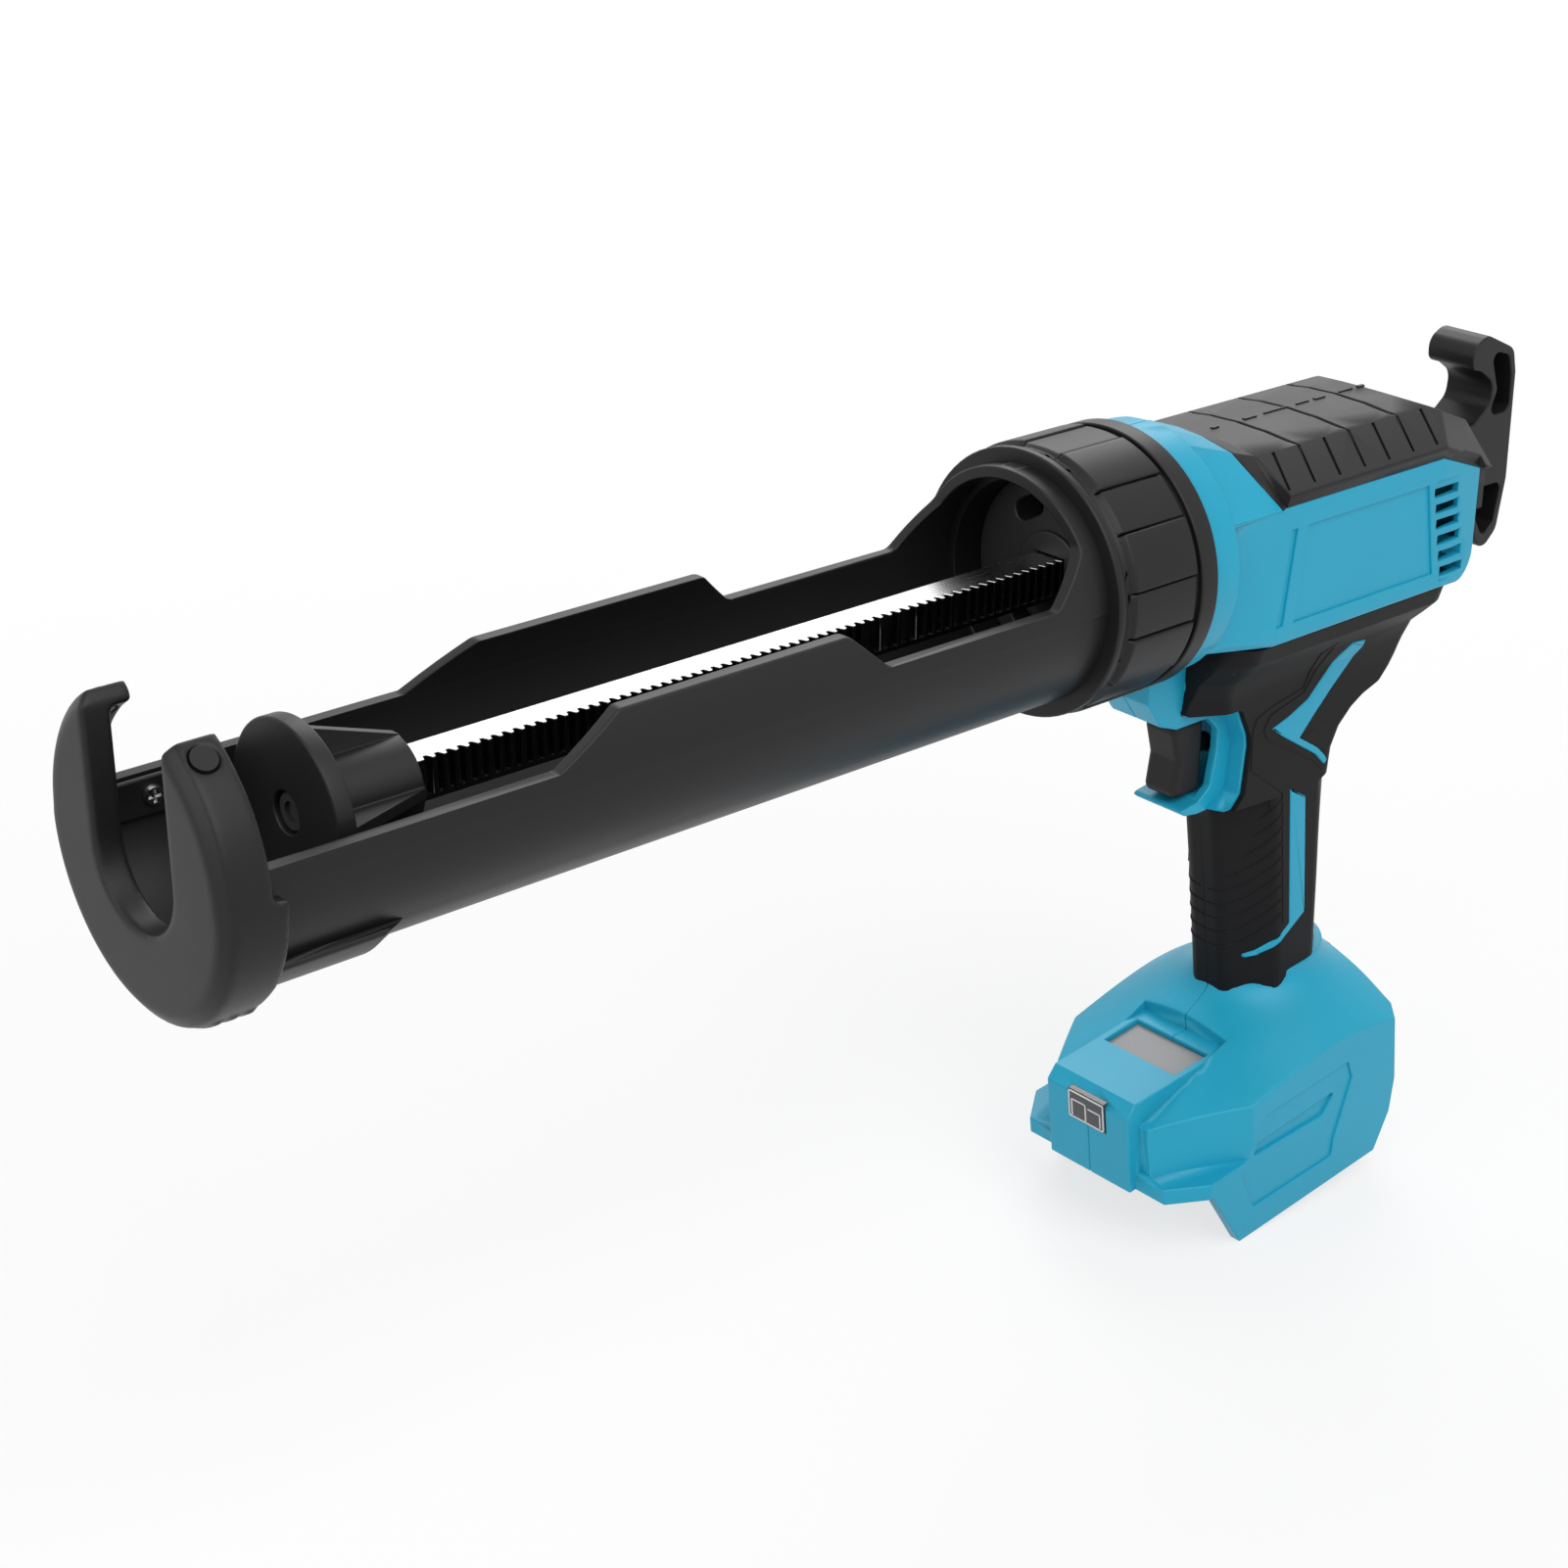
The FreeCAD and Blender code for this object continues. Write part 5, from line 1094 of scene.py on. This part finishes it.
class NoseOperator(CaulkerOperator, bpy.types.Operator):
    """Nose cap with its flush plugs"""

    bl_idname = "caulker.nose"
    bl_label = "Nose cap"

    def execute(self, context):
        cap = softened_copy("nose_cap_finished", "nose_cap", self.sizes.nose_grain,
                            self.sizes.nose_passes, black_plastic())
        dress(cap, "nose_cap")
        finish_node("nose_plugs", self.sizes.metal_round, black_plastic())
        return {"FINISHED"}


class CollarOperator(CaulkerOperator, bpy.types.Operator):
    """Locking collar with its pads"""

    bl_idname = "caulker.collar"
    bl_label = "Locking collar"

    def execute(self, context):
        finish_node("lock_collar", self.sizes.moulded_round, black_plastic())
        return {"FINISHED"}


class PushRodOperator(CaulkerOperator, bpy.types.Operator):
    """Toothed rack and piston"""

    bl_idname = "caulker.push_rod"
    bl_label = "Push rod"

    def execute(self, context):
        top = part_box("rack")[1]
        # The rack's teeth get painted shade, with a bright band left at their top
        finish_node("rack", self.sizes.metal_round,
                    rack_steel(top.y - self.sizes.tooth_shade_depth, top.z - self.sizes.tooth_unshaded_top))
        finish_node("piston", self.sizes.moulded_round, black_plastic())
        return {"FINISHED"}


class HookOperator(CaulkerOperator, bpy.types.Operator):
    """Pull hook on the rack's rear end"""

    bl_idname = "caulker.hook"
    bl_label = "Pull hook"

    def execute(self, context):
        finish_node("pull_hook", self.sizes.moulded_round, black_plastic())
        return {"FINISHED"}


class HousingOperator(CaulkerOperator, bpy.types.Operator):
    """The two housing halves"""

    bl_idname = "caulker.housing"
    bl_label = "Housing halves"

    def execute(self, context):
        for node in ("left_housing", "right_housing"):
            finish_node(node, self.sizes.moulded_round, cyan_plastic())
        return {"FINISHED"}


class CoverOperator(CaulkerOperator, bpy.types.Operator):
    """Grooved top cover with the dashes on its middle line"""

    bl_idname = "caulker.cover"
    bl_label = "Top cover"

    def execute(self, context):
        cover = finish_node("top_cover", self.sizes.moulded_round, black_plastic())
        lay_dashes("cover_dashes", "top_cover", cover, self.sizes.dash_height, black_plastic())
        return {"FINISHED"}


class GripOperator(CaulkerOperator, bpy.types.Operator):
    """Soft grip panels with their ribs and lines"""

    bl_idname = "caulker.grips"
    bl_label = "Grips"

    def execute(self, context):
        sizes = self.sizes
        for node, side in (("left_grip", 1.0), ("right_grip", -1.0)):
            grip = finish_node(node, sizes.grip_round, grip_rubber())
            sink_edge(grip, sizes.grip_sink)
            lay_lines(f"{node}_ribs", node, grip, rib_lines(sizes.rib_count, side),
                      sizes.rib_radius, grip_rubber())
            lay_lines(f"{node}_lines", node, grip, inlay_lines(side), sizes.line_radius,
                      grip_rubber())
        return {"FINISHED"}


class ControlsOperator(CaulkerOperator, bpy.types.Operator):
    """Trigger and speed dial"""

    bl_idname = "caulker.controls"
    bl_label = "Trigger and dial"

    def execute(self, context):
        for node in ("trigger", "speed_dial"):
            finish_node(node, self.sizes.moulded_round, black_plastic())
        return {"FINISHED"}


class WindowOperator(CaulkerOperator, bpy.types.Operator):
    """Display window, and lamp lens with its bright rim"""

    bl_idname = "caulker.windows"
    bl_label = "Window and lens"

    def execute(self, context):
        finish_node("display_window", self.sizes.glass_round, display_window())
        lens = finish_node("lamp_lens", self.sizes.glass_round, clear_lens())
        # Bright steel lines laid on the lens are painted highlights
        lay_lines("lamp_rim", "lamp_lens", lens, lens_highlight_lines("lamp_lens"), self.sizes.lens_highlight_line,
                  bright_steel())
        return {"FINISHED"}


class ContactOperator(CaulkerOperator, bpy.types.Operator):
    """Battery contact block and blades"""

    bl_idname = "caulker.contacts"
    bl_label = "Battery contacts"

    def execute(self, context):
        finish_node("terminal_block", self.sizes.moulded_round, guide_plastic())
        finish_node("terminal_blades", self.sizes.metal_round, brass())
        return {"FINISHED"}


class ScrewOperator(CaulkerOperator, bpy.types.Operator):
    """Housing and nose screws with cross recesses"""

    bl_idname = "caulker.screws"
    bl_label = "Screws"

    def execute(self, context):
        for node in ("housing_screws", "nose_screws"):
            make_screws(node, self.sizes)
        return {"FINISHED"}


class WorksOperator(CaulkerOperator, bpy.types.Operator):
    """Gear case, drive, boards and the frame pieces that keep their meshes"""

    bl_idname = "caulker.works"
    bl_label = "Inner works"

    def execute(self, context):
        finish_node("gear_case", self.sizes.moulded_round, dark_casting())
        coats = (
            (gear_steel(), ("rack_pinion", "drive_gear", "motor_pinion", "gearbox")),
            (bright_steel(), ("pinion_shaft", "gearbox_screws", "motor", "hook_screw")),
            (dark_casting(), ("piston_screw",)),
            (brass(), ("pinion_bearings",)),
            (guide_plastic(), ("rack_guides", "motor_cap", "switch", "dial_pot", "display_module")),
            (board_lacquer(), ("lamp_board", "control_board")),
        )
        for material, nodes in coats:
            for node in nodes:
                coat(frame["nodes"][node].data, material)
        return {"FINISHED"}


# Stage

def seen_plainly(tree):
    """1 for rays that show the background: camera, glossy and transmission rays."""
    path = tree.nodes.new("ShaderNodeLightPath").outputs
    total = path["Is Camera Ray"]
    for ray in ("Is Glossy Ray", "Is Transmission Ray"):
        total = put(tree, "ShaderNodeMath", {0: total, 1: path[ray]},
                    operation="MAXIMUM").outputs["Value"]
    return total


def add_world(strength):
    """White background, softer as a light."""
    world = bpy.data.worlds.new("studio")
    bpy.context.scene.world = world
    world.use_nodes = True
    tree = world.node_tree
    background = tree.nodes["Background"]
    background.inputs["Color"].default_value = WHITE
    level = place_range(tree, seen_plainly(tree), strength, 1.0)
    tree.links.new(level, background.inputs["Strength"])


def floor_material(white, middle, near):
    """Pale floor that keeps a soft shadow under the tool and grows white away from it."""
    material, tree, shader = new_material("studio_floor")
    tone = put(tree, "ShaderNodeGroup", {"Colour": FLOOR_GREY, **FLOOR_DRIFT},
               node_tree=tone_group())
    tree.links.new(tone.outputs["Colour"], shader.inputs["Base Color"])
    shader.inputs["Roughness"].default_value = FLOOR_ROUGHNESS
    far = put(tree, "ShaderNodeVectorMath", {0: object_place(tree), 1: middle},
              operation="DISTANCE")
    spread = put(tree, "ShaderNodeMapRange", {
        "Value": far.outputs["Value"], "From Min": near, "From Max": FLOOR_FADE * near,
        "To Min": white}, interpolation_type="SMOOTHSTEP")
    share = put(tree, "ShaderNodeMath", {0: seen_plainly(tree), 1: spread.outputs["Result"]},
                operation="MULTIPLY")
    glow = tree.nodes.new("ShaderNodeEmission")
    mix = put(tree, "ShaderNodeMixShader", {
        "Fac": share.outputs["Value"], 1: shader.outputs["BSDF"], 2: glow.outputs["Emission"]})
    tree.links.new(mix.outputs["Shader"], tree.nodes["Material Output"].inputs["Surface"])
    return material


def add_floor(stage, middle):
    """A plain floor under the tool's lowest point."""
    half = stage.floor_size / 2.0
    level = cad_low.z
    mesh = bpy.data.meshes.new("studio_floor")
    corners = [(-half, -half, level), (half, -half, level), (half, half, level),
               (-half, half, level)]
    mesh.from_pydata(corners, [], [(0, 1, 2, 3)])
    near = (cad_high - cad_low).length / 2.0
    coat(mesh, floor_material(stage.floor_white, (middle.x, middle.y, level), near))
    link_new("studio_floor", mesh)


def aim(obj, place, turn):
    """Puts a light or camera in its place."""
    obj.location = place
    obj.rotation_mode = "QUATERNION"
    obj.rotation_quaternion = turn


def add_light(name, place, target, size, power):
    """A square soft light aimed at a point."""
    lamp = bpy.data.lights.new(name, "AREA")
    lamp.shape = "SQUARE"
    lamp.size = size
    lamp.energy = power
    aim(link_new(name, lamp), place, (target - Vector(place)).to_track_quat("-Z", "Y"))


def add_camera(stage):
    """The camera at the photograph's view."""
    turn, rise = stage.camera_azimuth, stage.camera_elevation
    back = Vector((math.sin(turn) * math.cos(rise), -math.cos(turn) * math.cos(rise),
                   math.sin(rise)))
    lens = bpy.data.cameras.new("photo_camera")
    lens.lens = stage.lens
    lens.sensor_width = SENSOR_WIDTH
    lens.clip_start = CLIP_START
    lens.clip_end = CLIP_END
    camera = link_new("photo_camera", lens)
    aim(camera, stage.camera_place,
        Quaternion(back, stage.camera_roll) @ (-back).to_track_quat("-Z", "Y"))
    bpy.context.scene.camera = camera


class StageOperator(CaulkerOperator, bpy.types.Operator):
    """Camera, floor, lights and background"""

    bl_idname = "caulker.stage"
    bl_label = "Studio"

    def execute(self, context):
        stage = context.scene.caulker_stage
        context.scene.view_settings.view_transform = "Standard"
        middle = (cad_low + cad_high) / 2.0
        add_world(stage.sky)
        add_floor(stage, middle)
        for name, place, size, power in LIGHTS:
            add_light(name, place, middle, size, getattr(stage, power))
        add_camera(stage)
        return {"FINISHED"}


# Add-on

OPERATORS = (
    HolderOperator, NoseOperator, CollarOperator, PushRodOperator, HookOperator, HousingOperator,
    CoverOperator, GripOperator, ControlsOperator, WindowOperator, ContactOperator, ScrewOperator,
    WorksOperator, StageOperator,
)


class CaulkerPanel(bpy.types.Panel):
    """Lists the tool's settings and operators"""

    bl_idname = "VIEW3D_PT_caulker"
    bl_label = "Caulking tool"
    bl_space_type = "VIEW_3D"
    bl_region_type = "UI"
    bl_category = "Caulking tool"

    def draw(self, context):
        for operator in OPERATORS:
            self.layout.operator(operator.bl_idname)
        for settings in (context.scene.caulker_colours, context.scene.caulker_sizes,
                         context.scene.caulker_stage):
            box = self.layout.box()
            for name in settings.bl_rna.properties.keys():
                if name not in ("rna_type", "name"):
                    box.prop(settings, name)


CLASSES = (CaulkerColours, CaulkerSizes, CaulkerStage, *OPERATORS, CaulkerPanel)


def register():
    """Registers the classes and puts the settings on the scene."""
    for cls in CLASSES:
        bpy.utils.register_class(cls)
    bpy.types.Scene.caulker_colours = PointerProperty(type=CaulkerColours)
    bpy.types.Scene.caulker_sizes = PointerProperty(type=CaulkerSizes)
    bpy.types.Scene.caulker_stage = PointerProperty(type=CaulkerStage)


def unregister():
    """Takes the settings off the scene and the classes back."""
    del bpy.types.Scene.caulker_stage
    del bpy.types.Scene.caulker_sizes
    del bpy.types.Scene.caulker_colours
    for cls in reversed(CLASSES):
        bpy.utils.unregister_class(cls)


def main():
    """Dresses the frame, sets the stage and writes both boxes."""
    register()
    for operator in OPERATORS:
        getattr(bpy.ops.caulker, operator.bl_idname.split(".")[1])()


if __name__ == "__main__":
    main()
